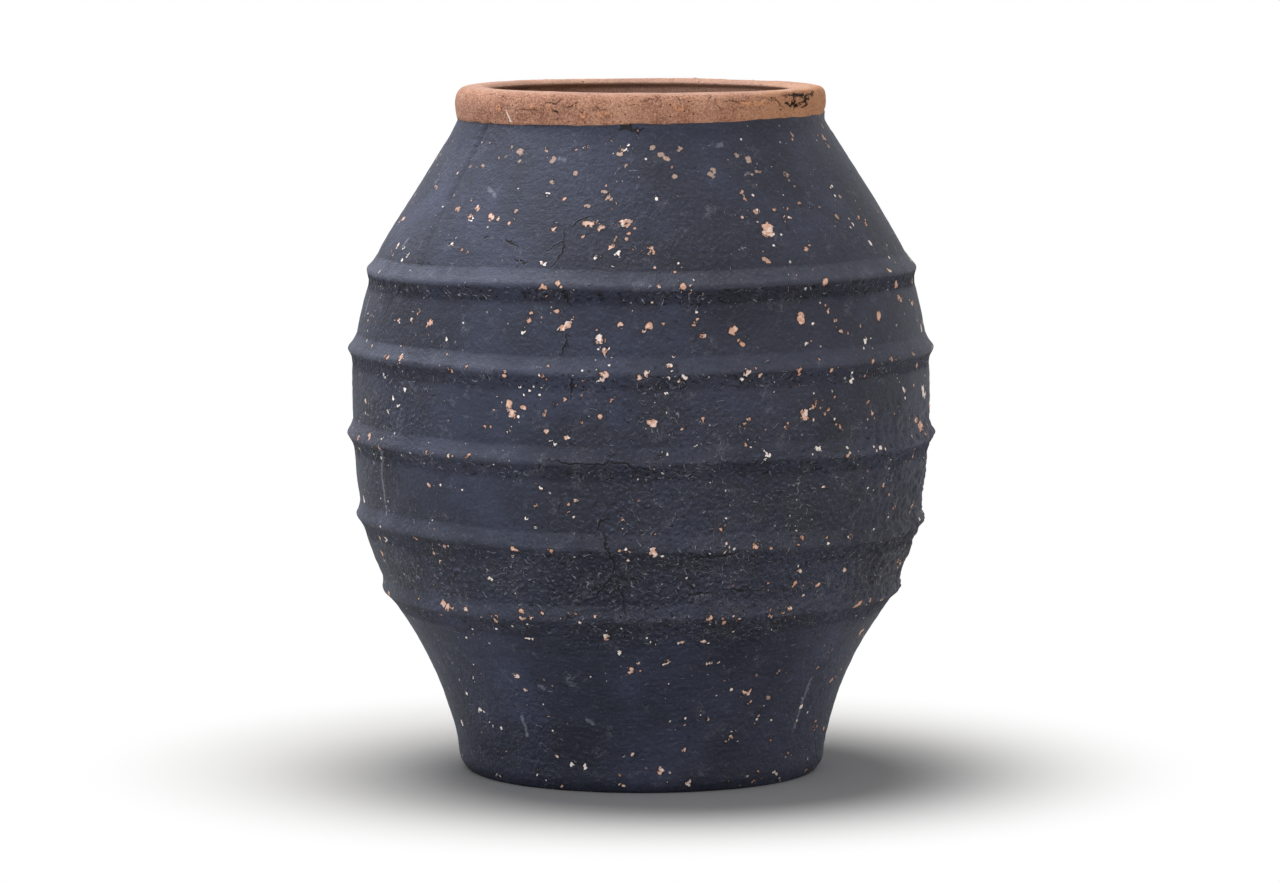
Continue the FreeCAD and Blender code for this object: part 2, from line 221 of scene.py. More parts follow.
# flakes that show in the photograph: column, row and width in its pixels; and how pale each zone's clay is,
# below 0 still veiled by paint and near 1 bleached white
flakes = {
    "shoulderHigh": [(522, 150, 8), (511, 147, 5), (504, 157, 3), (518, 163, 3), (553, 160, 7),
                     (547, 150, 3), (481, 166, 5), (467, 167, 3), (452, 174, 4), (435, 175, 4),
                     (430, 186, 3), (449, 197, 4), (469, 181, 3), (574, 150, 4), (587, 146, 4),
                     (576, 173, 5), (553, 182, 4), (613, 139, 4), (620, 152, 7), (625, 164, 5),
                     (652, 147, 6), (660, 154, 6), (666, 159, 6), (680, 148, 6), (675, 177, 5),
                     (605, 192, 5), (713, 173, 9), (737, 156, 6), (750, 161, 8), (756, 172, 4),
                     (774, 162, 3), (792, 134, 4), (786, 175, 6), (828, 145, 5), (835, 151, 5)],
    "shoulderLow": [(455, 209, 6), (478, 207, 7), (470, 216, 6), (490, 217, 8), (499, 219, 3),
                    (517, 212, 4), (516, 219, 3), (510, 223, 3), (564, 199, 3), (555, 229, 4),
                    (611, 198, 6), (615, 204, 3), (588, 205, 5), (587, 224, 7), (592, 225, 7),
                    (603, 229, 6), (623, 221, 6), (630, 221, 6), (626, 227, 4), (615, 237, 3),
                    (626, 239, 5), (611, 246, 5), (651, 247, 4), (653, 252, 4), (741, 192, 4),
                    (745, 199, 4), (753, 195, 3), (757, 212, 6), (767, 230, 12), (787, 209, 3),
                    (790, 217, 3), (785, 221, 4), (788, 229, 4), (800, 204, 4), (840, 196, 5),
                    (838, 217, 6), (859, 217, 5), (864, 222, 6), (766, 259, 6), (806, 249, 4),
                    (461, 249, 5)],
    "bandFive": [(658, 287, 4), (689, 292, 3), (559, 284, 6), (544, 288, 6), (684, 288, 8), (678, 286, 4),
                 (826, 281, 9), (888, 270, 6)],
    "drumFour": [(397, 319, 5), (418, 312, 6), (427, 324, 9), (528, 321, 5), (531, 315, 6), (556, 311, 6),
                 (567, 325, 8), (560, 329, 3), (600, 340, 10), (605, 350, 5), (621, 325, 7), (649, 324, 10),
                 (696, 323, 8), (702, 335, 5), (733, 330, 9), (742, 344, 5), (800, 318, 10), (836, 320, 5),
                 (840, 332, 6), (879, 315, 9), (899, 299, 7), (912, 303, 7), (807, 345, 4), (407, 315, 3),
                 (412, 321, 3), (644, 331, 4), (829, 309, 3), (861, 326, 4), (747, 338, 3)],
    "bandFour": [(387, 357, 5), (399, 358, 7), (448, 369, 7), (467, 366, 5), (505, 375, 6), (543, 375, 5),
                 (603, 375, 9), (637, 377, 5), (646, 375, 6), (670, 366, 6), (685, 377, 5), (747, 372, 10),
                 (760, 376, 5), (800, 371, 8), (873, 362, 6), (889, 358, 5), (896, 358, 5), (912, 354, 6),
                 (819, 358, 4), (833, 370, 4), (677, 371, 3)],
    "drumThree": [(509, 405, 8), (511, 415, 10), (524, 407, 5), (546, 432, 5), (567, 438, 5), (576, 386, 4),
                  (565, 399, 4), (364, 402, 5), (803, 416, 11), (814, 405, 4), (829, 410, 4), (899, 405, 5),
                  (910, 417, 5), (651, 425, 9), (749, 418, 4), (543, 414, 4), (555, 405, 4), (485, 428, 4),
                  (615, 398, 4), (600, 417, 4), (582, 422, 3), (785, 427, 3), (833, 421, 3), (840, 426, 3),
                  (836, 397, 3), (869, 402, 3), (872, 413, 4), (703, 420, 4), (686, 427, 3), (745, 423, 4)],
    "bandThree": [(378, 447, 6), (426, 453, 6), (447, 456, 5), (467, 457, 6), (746, 444, 4), (849, 455, 5)],
    "drumTwo": [(536, 506, 5), (542, 490, 4), (575, 501, 5), (574, 517, 3), (624, 521, 4), (428, 485, 4),
                (824, 487, 4), (884, 485, 4), (895, 503, 4), (721, 529, 4)],
    "bandTwo": [(414, 539, 5), (514, 550, 8), (551, 551, 4), (619, 551, 5), (630, 551, 4), (653, 550, 8),
                (727, 552, 5), (756, 545, 9), (805, 539, 6), (830, 537, 4), (852, 537, 5)],
    "drumOne": [(440, 562, 4), (491, 579, 4), (433, 552, 4), (445, 548, 4), (845, 569, 5), (795, 584, 6),
                (819, 584, 6), (768, 585, 5), (801, 571, 4)],
    "bandOne": [(417, 598, 5), (442, 604, 8), (447, 606, 6), (452, 608, 5), (466, 610, 5), (496, 621, 6),
                (490, 615, 4), (521, 612, 7), (522, 618, 7), (531, 617, 5), (542, 615, 5), (566, 615, 4),
                (575, 614, 4), (595, 616, 4), (710, 618, 6), (724, 622, 6), (738, 621, 6), (772, 616, 5),
                (782, 613, 6), (790, 609, 5), (795, 618, 4), (859, 604, 7), (871, 600, 4)],
    "foot": [(606, 637, 8), (620, 653, 5), (632, 671, 6), (527, 638, 5), (517, 676, 8), (472, 678, 5),
             (525, 690, 5), (549, 716, 3), (505, 750, 4), (667, 663, 6), (682, 642, 4), (704, 641, 5),
             (709, 663, 5), (730, 689, 5), (707, 720, 4), (731, 735, 5), (557, 756, 6), (634, 755, 6),
             (685, 749, 6), (660, 771, 7), (494, 776, 8), (688, 783, 5), (622, 786, 6), (725, 790, 8),
             (561, 786, 3), (540, 789, 5), (548, 789, 5)],
    "footRight": [(778, 671, 6), (744, 692, 6), (750, 690, 5), (768, 698, 6), (760, 710, 4), (817, 668, 4),
                  (831, 680, 6), (835, 676, 5), (815, 722, 5), (815, 728, 5), (770, 739, 4), (787, 753, 4),
                  (757, 772, 4), (752, 782, 4), (728, 782, 4), (806, 771, 4), (802, 747, 3), (729, 679, 3),
                  (747, 704, 3)],
    "white": [(776, 774, 4), (779, 779, 4), (801, 706, 6), (797, 720, 4), (617, 253, 7), (524, 332, 5),
              (447, 339, 4), (866, 340, 6), (554, 444, 5), (388, 412, 6), (853, 381, 5), (767, 453, 6),
              (819, 449, 7), (881, 448, 6), (876, 450, 4), (892, 445, 4), (402, 247, 5), (407, 254, 4),
              (472, 219, 4), (548, 194, 4), (596, 258, 5), (545, 264, 3), (452, 243, 4), (656, 199, 3),
              (629, 145, 3), (614, 265, 3), (831, 188, 4), (853, 224, 4), (870, 244, 5), (479, 710, 6),
              (466, 694, 4), (492, 726, 3), (500, 728, 3), (572, 764, 4), (585, 767, 4), (537, 770, 4),
              (543, 775, 4), (652, 642, 4), (535, 526, 5), (490, 578, 4), (542, 490, 3), (529, 390, 4),
              (539, 396, 4), (404, 390, 4), (392, 398, 4), (397, 405, 3), (383, 377, 3), (666, 393, 4),
              (666, 413, 3), (663, 453, 3), (696, 448, 3), (755, 442, 3), (887, 449, 4), (743, 380, 4),
              (904, 391, 4)],
}
flakeSize = {"share": 0.385, "gain": 0.013, "shoulder": 1.14}  # the larger ones are less broken up
paleness = {"shoulderHigh": (-0.8, -0.25), "shoulderLow": (-0.4, 0.35), "foot": (0.2, 0.75),
            "footRight": (-0.4, 0.15), "white": (0.75, 1.0), "elsewhere": (0.0, 0.42)}
# cracks in the painted wall, as columns and rows in the photograph; a depth below 1 is faint, above 1 gapes
cracks = {"forkMain": (1.3, [(590, 217), (579, 222), (568, 229)]),
          "forkLeft": (1.0, [(568, 229), (564, 240), (546, 252)]),
          "forkRight": (1.2, [(566, 237), (564, 247), (561, 256), (553, 268)]),
          "gashLeft": (2.2, [(505, 241), (511, 243), (518, 246)]),
          "nick": (1.5, [(484, 239), (488, 237)]), "dash": (1.6, [(515, 259), (526, 263)]),
          "gashUnderRim": (2.4, [(621, 129), (628, 129), (636, 131), (643, 128)]),
          "drumFour": (1.3, [(567, 335), (566, 345), (562, 354)]),
          "crossBand": (1.2, [(561, 290), (566, 297), (569, 306)]),
          "lowerBand": (1.3, [(570, 374), (572, 385), (571, 396)]),
          "belly": (1.4, [(608, 513), (598, 529)]),
          "bellyCross": (1.6, [(605, 533), (607, 548), (613, 560), (614, 572)]),
          "bellyFork": (1.5, [(612, 576), (604, 586), (594, 600)]),
          "bellyLow": (1.3, [(578, 612), (566, 622)]),
          "bellyRight": (0.9, [(616, 580), (622, 592), (627, 622)]),
          "bellySide": (0.9, [(620, 582), (636, 578), (648, 581)]),
          "bandThree": (1.5, [(545, 458), (580, 465), (612, 462), (650, 470)]),
          "bandTwo": (1.2, [(675, 551), (698, 558), (722, 556), (746, 549)]),
          "drumOne": (1.3, [(722, 588), (742, 590), (762, 590)]),
          "drumOneLeft": (1.0, [(683, 596), (700, 594), (716, 594)])}
# pale drips and scuffs, and furrows that a finger left in the wall, the same way
chalk = {"drips": [(379, 446), (380, 470), (382, 488), (384, 514)],
         "scratch": [(811, 678), (806, 690), (802, 702), (797, 718), (794, 727)],
         "smudge": [(521, 716), (525, 726), (527, 736)], "smudgeRight": [(586, 720), (594, 724)],
         "limbNicks": [(368, 296), (365, 306), (363, 316)], "shoulderLeft": [(404, 240), (400, 247)],
         "footSmudge": [(540, 686), (544, 689)], "highSmudge": [(560, 158), (566, 160)],
         "midSmudge": [(488, 188), (496, 196)], "rightSmudge": [(716, 146), (722, 144)]}
furrows = {"shoulderLeft": [(483, 131), (470, 152), (452, 185), (437, 215), (425, 245), (416, 272)]}
# flakes on the sides and the back, which the photograph doesn't show
unseenFlakes = {"seed": 47, "count": 540, "onBands": 140, "frontEdge": 66, "medianMm": 1.7,
                "largestMm": 4.6, "whiteShare": 0.16, "cracks": 18, "crackLongestMm": 46,
                "furrows": (112, 171, -118), "furrowHeights": (388, 468)}
crackStep = 2.2  # mm between the bends of a crack
farOff = 9.0  # mm from a mark at which it stops counting


def addFlake(lobes, angle, along, radius, size, tint, maker):
    # a flake is a few lobes run together, with crumbs round it: angle, mm along the outline, size and tint
    for scatter in maker.normal(0, 0.36, (3, 2)) * size:
        lobes.append((angle + scatter[0] / radius, along + scatter[1], size * maker.uniform(0.45, 0.8), tint))
    for scatter in maker.normal(0, 2.4, (maker.integers(0, 4), 2)) * size:
        lobes.append((angle + scatter[0] / radius, along + scatter[1], maker.uniform(0.35, 0.8),
                      tint + maker.uniform(-0.2, 0.5)))


def addLine(lobes, line, width, maker):
    # a soft line through photograph points, shaken a little
    spots = [spot for spot in (onPot(*mark) for mark in line) if spot]
    for (angleA, radius, heightA), (angleB, other, heightB) in zip(spots, spots[1:]):
        count = int(math.hypot(radius * (angleB - angleA), heightB - heightA) / 0.6) + 2
        for part in np.linspace(0, 1, count):
            angle = angleA + (angleB - angleA) * part + maker.normal(0, 0.45) / radius
            height = heightA + (heightB - heightA) * part + maker.normal(0, 0.45)
            lobes.append((angle, alongWall(radius, height), width * maker.uniform(0.4, 1), 0))


def alongWall(radius, height):
    return float(np.interp(height, levels, slants))


def trace(line, alongOf, shake, maker):
    # a crack through photograph points, as a shaken run of angle and mm along the outline
    spots = [spot for spot in (onPot(*mark) for mark in line) if spot]
    run = []
    for (angleA, radiusA, heightA), (angleB, radiusB, heightB) in zip(spots, spots[1:]):
        count = int(math.hypot(radiusA * (angleB - angleA), heightB - heightA) / crackStep) + 1
        for part in np.linspace(0, 1, count + 1):
            along = alongOf(radiusA + (radiusB - radiusA) * part, heightA + (heightB - heightA) * part)
            run.append((angleA + (angleB - angleA) * part + maker.normal(0, shake) / radiusA,
                        along + maker.normal(0, shake)))
    return run


def stray(angle, along, radius, length, maker):
    # a crack that wanders off by itself
    run, heading = [(angle, along)], maker.uniform(0, 2 * math.pi)
    for part in range(int(length / crackStep)):
        heading += maker.normal(0, 0.55)
        run.append((run[-1][0] + crackStep * math.cos(heading) / radius,
                    run[-1][1] + crackStep * math.sin(heading)))
    return run


def markPot():
    maker = np.random.default_rng(unseenFlakes["seed"])
    flakeLobes, chalkLobes, furrowLobes = [], [], []
    pixel = view["distance"] / view["focalPixels"] / mm
    for zone, marks in flakes.items():
        for column, row, width in marks:
            spot = onPot(column, row)
            tint = maker.uniform(*paleness.get(zone, paleness["elsewhere"]))
            if spot:
                size = width * pixel * (flakeSize["share"] + flakeSize["gain"] * width)
                size *= flakeSize["shoulder"] if zone.startswith("shoulder") else 1
                addFlake(flakeLobes, spot[0], alongWall(*spot[1:]), spot[1], size, tint, maker)
    area = np.cumsum(outerRadii * np.gradient(slants))
    for number in range(unseenFlakes["count"] + unseenFlakes["onBands"]):
        height = float(np.interp(maker.uniform(0, area[-1]), area, levels))
        if number >= unseenFlakes["count"]:
            height = seams[1 + number % 5] - maker.uniform(-3, 10)
        angle = maker.uniform(-math.pi, math.pi)
        size = min(unseenFlakes["largestMm"], unseenFlakes["medianMm"] * math.exp(maker.normal(0, 0.5)))
        white = maker.uniform() < unseenFlakes["whiteShare"]
        tint = maker.uniform(0.75, 1) if white else maker.uniform(-0.2, 0.45)
        tint += 0.3 * step(140, 100, height) - 0.3 * step(410, 450, height)
        if abs(math.degrees(angle)) > unseenFlakes["frontEdge"]:
            radius = float(np.interp(height, levels, outerRadii))
            addFlake(flakeLobes, angle, alongWall(radius, height), radius, size, tint, maker)
    runs = [(depth, trace(line, alongWall, 0.9, maker)) for depth, line in cracks.values()]
    for number in range(unseenFlakes["cracks"]):
        angle = math.radians(maker.uniform(unseenFlakes["frontEdge"] + 6, 354 - unseenFlakes["frontEdge"]))
        height = maker.uniform(40, 440)
        longest = maker.uniform(0.25, 1) * unseenFlakes["crackLongestMm"]
        radius = float(np.interp(height, levels, outerRadii))
        runs.append((maker.uniform(0.6, 1.6), stray(angle, alongWall(0, height), radius, longest, maker)))
    for line in chalk.values():
        addLine(chalkLobes, line, 0.9, maker)
    for line in furrows.values():
        addLine(furrowLobes, line, 1.4, maker)
    for angle in unseenFlakes["furrows"]:
        for height in np.arange(*unseenFlakes["furrowHeights"], 0.8):
            turn = math.radians(angle) + 0.03 * math.sin(height / 31 + angle) + maker.normal(0, 0.002)
            furrowLobes.append((turn, alongWall(0, height), maker.uniform(-0.6, 0.6), 0))
    return flakeLobes, runs, chalkLobes, furrowLobes


def edgeField(lobes, along, radius):
    # mm from each vertex to the nearest mark's edge, negative inside it, and that mark's tint
    edge, tint = np.full(along.shape, farOff), np.zeros(along.shape)
    spacing = 2 * math.pi / turns
    low, high = along.min() - farOff, along.max() + farOff
    for angle, place, size, shade in lobes:
        if low - size < place < high + size:
            reach = int((size + farOff) / (radius * spacing)) + 1
            columns = (int(round((angle + math.pi) / spacing)) + np.arange(-reach, reach + 1)) % turns
            across = radius * ((angles[columns] - angle + math.pi) % (2 * math.pi) - math.pi)
            away = np.hypot(across, along[:, columns] - place) - size
            tint[:, columns] = np.where(away < edge[:, columns], shade, tint[:, columns])
            edge[:, columns] = np.minimum(edge[:, columns], away)
    return edge, tint


def lineField(runs, along, radius):
    # mm from each vertex to the nearest crack, the same with a minus sign on one side, and that crack's depth
    edge, side, deep = np.full(along.shape, farOff), np.full(along.shape, farOff), np.zeros(along.shape)
    spacing = 2 * math.pi / turns
    low, high = along.min() - 4, along.max() + 4
    for depth, run in runs:
        for number, ((angleA, alongA), (angleB, alongB)) in enumerate(zip(run, run[1:])):
            if max(alongA, alongB) < low or min(alongA, alongB) > high:
                continue
            reach = int((radius * abs(angleB - angleA) + 4) / (radius * spacing)) + 1
            columns = (int(round((angleA + math.pi) / spacing)) + np.arange(-reach, reach + 1)) % turns
            across = radius * ((angles[columns] - angleA + math.pi) % (2 * math.pi) - math.pi)
            upward = along[:, columns] - alongA
            runX, runY = radius * (angleB - angleA), alongB - alongA
            part = np.clip((across * runX + upward * runY) / max(1e-6, runX ** 2 + runY ** 2), 0, 1)
            away = np.hypot(across - part * runX, upward - part * runY)
            signed = np.where(runX * upward - runY * across >= 0, away, -away)
            nearer = away < edge[:, columns]
            side[:, columns] = np.where(nearer, signed, side[:, columns])
            taper = 0.4 + 0.6 * np.sin(math.pi * (number + part) / (len(run) - 1))
            deep[:, columns] = np.where(nearer, depth * taper, deep[:, columns])
            edge[:, columns] = np.minimum(edge[:, columns], away)
    return {"crackEdge": edge, "crackSide": side, "crackDepth": deep}


flakeLobes, crackRuns, chalkLobes, furrowLobes = markPot()
print("stage:", len(flakeLobes), "flake lobes,", len(crackRuns), "cracks")


def makeRing(name, points, outerRows, sharpRows, fields, materials):
    # a closed ring: rows run up the outside, in over the top, down the inside and out again underneath
    rows = len(points)
    index = np.arange(rows * turns).reshape(rows, turns)
    quads = np.stack((index, np.roll(index, -1, 1), np.roll(np.roll(index, -1, 1), -1, 0),
                      np.roll(index, -1, 0)), -1)
    mesh = bpy.data.meshes.new(name)
    mesh.from_pydata((points * mm).reshape(-1, 3).tolist(), [], quads.reshape(-1, 4).tolist())
    for material in materials:
        mesh.materials.append(material)
    inside = np.repeat(np.arange(rows) >= outerRows, turns) if len(materials) > 1 else np.zeros(rows * turns)
    mesh.polygons.foreach_set("material_index", inside.astype(np.int32))
    mesh.polygons.foreach_set("use_smooth", np.ones(rows * turns, bool))
    ends = np.empty(len(mesh.edges) * 2, np.int32)
    mesh.edges.foreach_get("vertices", ends)
    rowOf = ends.reshape(-1, 2) // turns
    sharp = (rowOf[:, 0] == rowOf[:, 1]) & np.isin(rowOf[:, 0], [row % rows for row in sharpRows])
    mesh.attributes.new("sharp_edge", "BOOLEAN", "EDGE").data.foreach_set("value", sharp)
    for key, values in fields.items():
        whole = np.full((rows, turns), farOff if key.endswith(("Edge", "Side")) else 0.0)
        whole[:len(values)] = values
        mesh.attributes.new(key, "FLOAT", "POINT").data.foreach_set("value", whole.ravel().astype(np.float32))
    # the unrolled ring, cut into strips that fill the square for the bake
    closed = np.concatenate((points, points[:1]))
    along = np.concatenate(([0], np.cumsum(np.linalg.norm(np.diff(closed, axis=0), axis=-1).mean(1))))
    girth = 2 * math.pi * np.linalg.norm(points[..., :2], axis=-1).max()
    strips = max(1, round(math.sqrt(girth / along[-1])))
    column = np.tile(np.arange(turns), rows)
    row = np.repeat(np.arange(rows), turns)
    strip = column * strips // turns
    columns = column[:, None] + np.array([0, 1, 1, 0])
    heights = along[row[:, None] + np.array([0, 0, 1, 1])] / along[-1]
    across = 0.005 + 0.99 * (columns * strips / turns - strip[:, None])
    upward = (strip[:, None] + 0.01 + 0.98 * heights) / strips
    mesh.uv_layers.new(name="OFBake").data.foreach_set("uv", np.stack((across, upward), -1).ravel())
    mesh.update()
    piece = bpy.data.objects.new(name, mesh)
    bpy.context.scene.collection.objects.link(piece)
    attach(piece, "root")
    return piece


def wearFields(height, radius, under, ledge, points):
    along = np.interp(height, levels, slants)
    flakeEdge, flakeTint = edgeField(flakeLobes, along, radius)
    return {"flakeEdge": flakeEdge, "flakeTint": flakeTint, **lineField(crackRuns, along, radius),
            "chalkEdge": edgeField(chalkLobes, along, radius)[0],
            "furrowEdge": edgeField(furrowLobes, along, radius)[0],
            "underBand": under, "ledge": ledge, "rubbed": rubbedAt(points)}


def hexColour(code):
    # sRGB hex to the linear values that the nodes take
    parts = [int(code[i:i + 2], 16) / 255 for i in (1, 3, 5)]
    return [part / 12.92 if part <= 0.04045 else ((part + 0.055) / 1.055) ** 2.4 for part in parts] + [1]


def add(tree, kind, links=None, out=0, **settings):
    node = tree.nodes.new("ShaderNode" + kind)
    for name, value in settings.items():
        setattr(node, name, value)
    for socket, value in (links or {}).items():
        if isinstance(value, bpy.types.NodeSocket):
            tree.links.new(value, node.inputs[socket])
        else:
            node.inputs[socket].default_value = value
    return node if out is None else node.outputs[out]


def freshTree(block):
    block.use_nodes = True
    block.node_tree.nodes.clear()
    return block.node_tree


# lime paint brushed on terracotta: a chalky blue-black skin with a faint sheen, smooth where it lies thick,
# dusty and painted paler on the ledges, crumbly and sooty under the bands with painted shade, wrinkled and
# pitted where it is rubbed, flaked to salmon clay; 'rise' is the colour of painted highlights and 'pit' of
# painted shade
paint = {"dark": "#1c1e2a", "mid": "#282c3b", "chalky": "#3b4056", "rise": "#53586a", "ledge": "#5b5f6f",
         "brown": "#312e30", "underBand": "#29272b", "pit": "#0c0c0f", "scuff": "#8d919d",
         "flake": "#e1bfae", "flakeRim": "#865b44", "flakeDeep": "#c99a82", "flakeDull": "#938580",
         "flakeWhite": "#f5ece7", "roughness": 0.6, "flakeRoughness": 0.9, "sheen": 0.26}
# pattern sizes in mm; leather, grain and hair are drawn about twice as coarse as they are, so that they show
paintSize = {"cloud": 75, "brush": 17, "leather": 3.2, "bump": 1.1, "grain": 1.4, "crumb": 3.6, "flock": 26,
             "smudge": 13, "shake": 3.2, "bend": 10, "chip": 2.5, "chipReach": 1.0, "hairCell": 4.4,
             "hairWidth": 0.33, "hairLongest": 4.6, "crackWidth": 0.8}
# small marks that the shader scatters: cell in mm, share of cells that hold one, least and largest size in mm
specks = {"fleck": {"cell": 5.6, "share": 0.26, "least": 0.25, "largest": 1.15},
          "dust": {"cell": 3.8, "share": 0.26, "least": 0.12, "largest": 0.45}}


def speckle(tree, place, size):
    # mask of round-ish specks, one at most in each cell, and each speck's own chance
    cell = add(tree, "TexVoronoi", {"Vector": place, "Scale": 1 / (size["cell"] * mm)}, out=None)
    chance = add(tree, "SeparateColor", {0: cell.outputs["Color"]}, out=None)
    least, largest, soft = (length / size["cell"] for length in (size["least"], size["largest"], 0.12))
    width = add(tree, "MapRange", {"Value": chance.outputs[0], "From Min": 1 - size["share"], "From Max": 1.0,
                                   "To Min": least, "To Max": largest})
    held = add(tree, "Math", {0: chance.outputs[0], 1: 1 - size["share"]}, operation="GREATER_THAN")
    inside = add(tree, "Math", {0: width, 1: cell.outputs["Distance"]}, operation="SUBTRACT")
    mask = add(tree, "MapRange", {"Value": inside, "From Min": -soft, "From Max": soft})
    return add(tree, "Math", {0: mask, 1: held}, operation="MULTIPLY"), chance.outputs[1]


def paintedClay():
    material = bpy.data.materials.new("limePaintOnTerracotta")
    tree = freshTree(material)
    size = paintSize
    tint = {key: hexColour(code) for key, code in paint.items() if isinstance(code, str)}
    place = add(tree, "TexCoord", out="Object")
    marks = ("flakeEdge", "flakeTint", "crackEdge", "crackSide", "crackDepth", "chalkEdge", "furrowEdge",
             "underBand", "ledge", "rubbed")
    field = {key: add(tree, "Attribute", out="Fac", attribute_name=key) for key in marks}
    shaken = add(tree, "TexNoise", {"Vector": place, "Scale": 1 / (size["shake"] * mm), "Detail": 2.0},
                 out="Color")
    warped = add(tree, "VectorMath", {0: shaken, 1: (0.8 * size["shake"] * mm,) * 3, 2: place},
                 operation="MULTIPLY_ADD")
    bend = add(tree, "TexNoise", {"Vector": place, "Scale": 1 / (size["bend"] * mm), "Detail": 1.0},
               out="Color")
    bent = add(tree, "VectorMath", {0: bend, 1: (0.9 * size["bend"] * mm,) * 3, 2: warped},
               operation="MULTIPLY_ADD")
    # the brush went round the pot
    streaked = add(tree, "Mapping", {"Vector": place, "Scale": (1.0, 1.0, 7.0)})
    squashed = add(tree, "Mapping", {"Vector": warped, "Scale": (1.0, 1.0, 1.7)})
    noise = {}
    for key, where, detail, rough in (("cloud", place, 5, 0.62), ("brush", streaked, 4, 0.6),
                                      ("leather", warped, 3, 0.6), ("grain", place, 2, 0.65),
                                      ("crumb", squashed, 3, 0.6), ("flock", place, 2, 0.6),
                                      ("smudge", warped, 4, 0.7)):
        noise[key] = add(tree, "TexNoise", {"Vector": where, "Scale": 1 / (size[key] * mm),
                                            "Detail": float(detail), "Roughness": rough})
    # the paint's own tone, with more grain and darker where it is rubbed
    coarse = add(tree, "MapRange", {"Value": field["rubbed"], "To Min": 0.4, "To Max": 1.1})
    tone = add(tree, "Math", {0: noise["brush"], 1: 0.2, 2: noise["cloud"]}, operation="MULTIPLY_ADD")
    tone = add(tree, "Math", {0: field["rubbed"], 1: -0.06, 2: tone}, operation="MULTIPLY_ADD")
    texture = add(tree, "Math", {0: noise["leather"], 1: 0.26, 2: -0.41}, operation="MULTIPLY_ADD")
    texture = add(tree, "Math", {0: noise["grain"], 1: 0.56, 2: texture}, operation="MULTIPLY_ADD")
    tone = add(tree, "Math", {0: texture, 1: coarse, 2: tone}, operation="MULTIPLY_ADD")
    low = add(tree, "MapRange", {"Value": tone, "From Min": 0.40, "From Max": 0.60})
    high = add(tree, "MapRange", {"Value": tone, "From Min": 0.60, "From Max": 0.86, "To Max": 0.8})
    colour = add(tree, "Mix", {0: low, 6: tint["dark"], 7: tint["mid"]}, out=2, data_type="RGBA")
    coats = [(high, "chalky")]  # what lies over the paint, laid on in this order
    # browner patches where it is rubbed, and painted shade in the furrows, painted darker
    brown = add(tree, "MapRange", {"Value": noise["flock"], "From Min": 0.45, "From Max": 0.62,
                                   "To Max": 0.3})
    brown = add(tree, "Math", {0: brown, 1: field["rubbed"]}, operation="MULTIPLY")
    coats.append((brown, "brown"))
    furrowShade = add(tree, "Math", {0: noise["grain"], 1: 2.0, 2: field["furrowEdge"]}, operation="MULTIPLY_ADD")
    furrowShade = add(tree, "MapRange", {"Value": furrowShade, "From Min": 3.0, "From Max": 0.2, "To Max": 0.8})
    coats.append((furrowShade, "dark"))
    # dust and painted highlight on the bands' upper slopes, painted paler as where light from above falls on
    # them
    dustAndHighlight = add(tree, "MapRange", {"Value": noise["flock"], "From Min": 0.3, "From Max": 0.6, "To Min": 0.2,
                                   "To Max": 0.5})
    dustAndHighlight = add(tree, "Math", {0: field["ledge"], 1: dustAndHighlight}, operation="MULTIPLY")
    coats.append((dustAndHighlight, "ledge"))
    # painted light and shade: the upper side of each leathery bump is painted paler and its under side
    # darker, as light from above would fall on them
    above = add(tree, "VectorMath", {0: warped, 1: (0, 0, size["bump"] * mm)}, operation="ADD")
    above = add(tree, "TexNoise", {"Vector": above, "Scale": 1 / (size["leather"] * mm), "Detail": 3.0,
                                   "Roughness": 0.6})
    upward = add(tree, "Math", {0: noise["leather"], 1: above}, operation="SUBTRACT")
    for code, least, most, share in (("rise", 0.05, 0.22, 0.75), ("pit", -0.05, -0.22, 0.8)):
        lit = add(tree, "MapRange", {"Value": upward, "From Min": least, "From Max": most, "To Max": share})
        lit = add(tree, "Math", {0: lit, 1: coarse}, operation="MULTIPLY")
        coats.append((lit, code))
    # soot and painted shade: a crumbly strip under each band, in runs, painted brown-black, with crumbs
    # painted lighter as painted highlights and gaps painted black as painted shade
    inRuns = add(tree, "MapRange", {"Value": noise["flock"], "From Min": 0.38, "From Max": 0.60,
                                    "To Min": 0.22})
    strip = add(tree, "Math", {0: field["underBand"], 1: inRuns}, operation="MULTIPLY")
    sootAndShade = add(tree, "Math", {0: strip, 1: 0.4}, operation="MULTIPLY")
    coats.append((sootAndShade, "underBand"))
    crumbs = add(tree, "MapRange", {"Value": noise["crumb"], "From Min": 0.57, "From Max": 0.68,
                                    "To Max": 0.45})
    crumbs = add(tree, "Math", {0: crumbs, 1: strip}, operation="MULTIPLY")
    coats.append((crumbs, "rise"))
    gaps = add(tree, "MapRange", {"Value": noise["crumb"], "From Min": 0.43, "From Max": 0.35, "To Max": 0.8})
    gaps = add(tree, "Math", {0: gaps, 1: strip}, operation="MULTIPLY")
    coats.append((gaps, "pit"))
